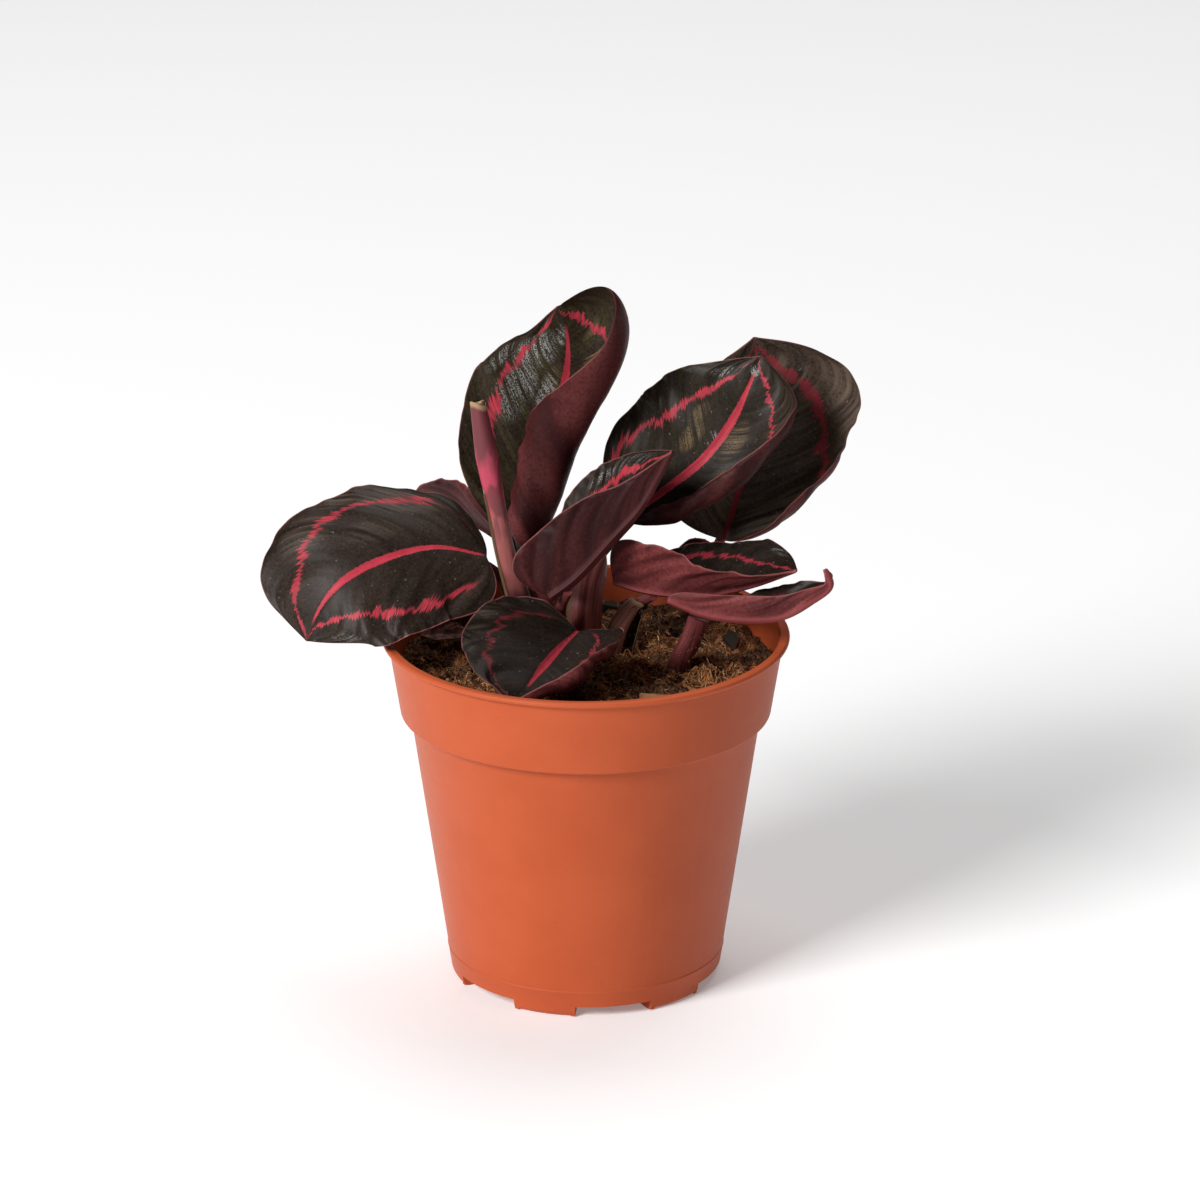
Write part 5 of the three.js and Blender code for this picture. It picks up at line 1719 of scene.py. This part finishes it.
# %% The stub
STUB_PATH = [(-39.5, 19, 77), (-39.5, 18.8, 84.5), (-39, 18.5, 88)]
STUB_DRY = inside_finish("stub_dry", (0.3, 0.2, 0.11), (0.55, 0.42, 0.27))
stub = wrap_mesh("stub", STUB_PATH, (1.8, 1.7, 1.6), turns=1.04, start=100, span=(0, 0.98), slant=0.1,
                 finishes=(STUB_DRY, STUB_DRY), inward=0.1, rows=40)
place("stub", stub, "stub", "withered")
print("stub", len(stub.polygons), "faces")

# %% The withered leaf
def withered_finish():
    material, tree, shader = finish_named("withered_blade")
    noise = cloud(tree, object_place(tree), 420.0, 4.0)
    colour = tinted(tree, step(tree, noise, 0.35, 0.65), (0.1, 0.035, 0.03), (0.34, 0.17, 0.12))
    dressed(tree, shader, colour, 0.8, 0.5, noise, 0.6, 0.4)
    return material


DRY_BLADE = withered_finish()
withered = blade_mesh("withered_blade", WITHERED, 40, DRY_BLADE, DRY_BLADE, keel=0.2)
place("withered_blade", withered, "leaf_withered", "withered")
print("withered leaf", len(withered.polygons), "faces")

# %% [markdown]
# ## Studio
# The photograph is a studio shot on white: a big soft light from the front left, little fill from the right,
# and a long lens a good metre away that looks down by about twenty degrees.

# %% Camera
ELEVATION = math.radians(19.8)
DISTANCE = 1400
AIM = Vector((0, 0, 102))
FRAME_PIXELS = 1200
FOCAL_PIXELS = 5423  # the lens, measured in pixels of the frame
POT_AXIS_PIXEL = 585.75  # the pot stands a little left of the middle
SENSOR = 36

camera_data = bpy.data.cameras.new("camera")
camera_data.sensor_width = SENSOR
camera_data.lens = FOCAL_PIXELS / FRAME_PIXELS * SENSOR
camera_data.shift_x = (FRAME_PIXELS / 2 - POT_AXIS_PIXEL) / FRAME_PIXELS
camera = bpy.data.objects.new("camera", camera_data)
bpy.context.scene.collection.objects.link(camera)
towards_viewer = Vector((0, -math.cos(ELEVATION), math.sin(ELEVATION)))
camera.location = (AIM + towards_viewer * DISTANCE) * MM
camera.rotation_euler = (math.pi / 2 - ELEVATION, 0, 0)
bpy.context.scene.camera = camera
print("lens", round(camera_data.lens, 1), "mm, looking down by", round(math.degrees(ELEVATION), 1), "degrees")

# %% Floor
FLOOR_SIZE = 6.0


def floor_finish():
    material, _, shader = finish_named("floor_paper")
    shader.inputs["Base Color"].default_value = (0.84, 0.84, 0.84, 1)
    shader.inputs["Roughness"].default_value = 0.9
    shader.inputs["Emission Color"].default_value = (1, 1, 1, 1)
    shader.inputs["Emission Strength"].default_value = 0.2
    return material


floor_mesh = bpy.data.meshes.new("floor")
corners = [(x * FLOOR_SIZE / 2, y * FLOOR_SIZE / 2, 0) for x, y in ((-1, -1), (1, -1), (1, 1), (-1, 1))]
floor_mesh.from_pydata(corners, [], [(0, 1, 2, 3)])
floor_mesh.materials.append(floor_finish())
floor = bpy.data.objects.new("floor", floor_mesh)
bpy.context.scene.collection.objects.link(floor)
print("floor", FLOOR_SIZE, "m wide")

# %% [markdown]
# ## Light
# A large light from the front left models the pot and lets the leaves gleam, a weaker one from above and behind
# parts the leaves from each other, and an even pale world fills the shadows. One lamp alone would leave the
# right side black, and a picture of a studio as the world would bring reflections that the photograph lacks.

# %% Soft lights and the world
def soft_light(name, place_mm, size, energy):
    """A square area light that looks at the middle of the plant."""
    data = bpy.data.lights.new(name, "AREA")
    data.shape, data.size, data.energy = "SQUARE", size, energy
    light = bpy.data.objects.new(name, data)
    bpy.context.scene.collection.objects.link(light)
    light.location = Vector(place_mm) * MM
    away = light.location - AIM * MM
    light.rotation_euler = away.to_track_quat("Z", "Y").to_euler()


soft_light("key", (-1720, -1680, 1597), 1.1, 96)
soft_light("top", (250, 875, 2097), 1.75, 25)

world = bpy.data.worlds.new("studio")
world.use_nodes = True
world.node_tree.nodes["Background"].inputs["Color"].default_value = (1, 1, 1, 1)
world.node_tree.nodes["Background"].inputs["Strength"].default_value = 0.05
bpy.context.scene.world = world
bpy.context.scene.view_settings.view_transform = "Standard"
print("lights", len(bpy.data.lights))
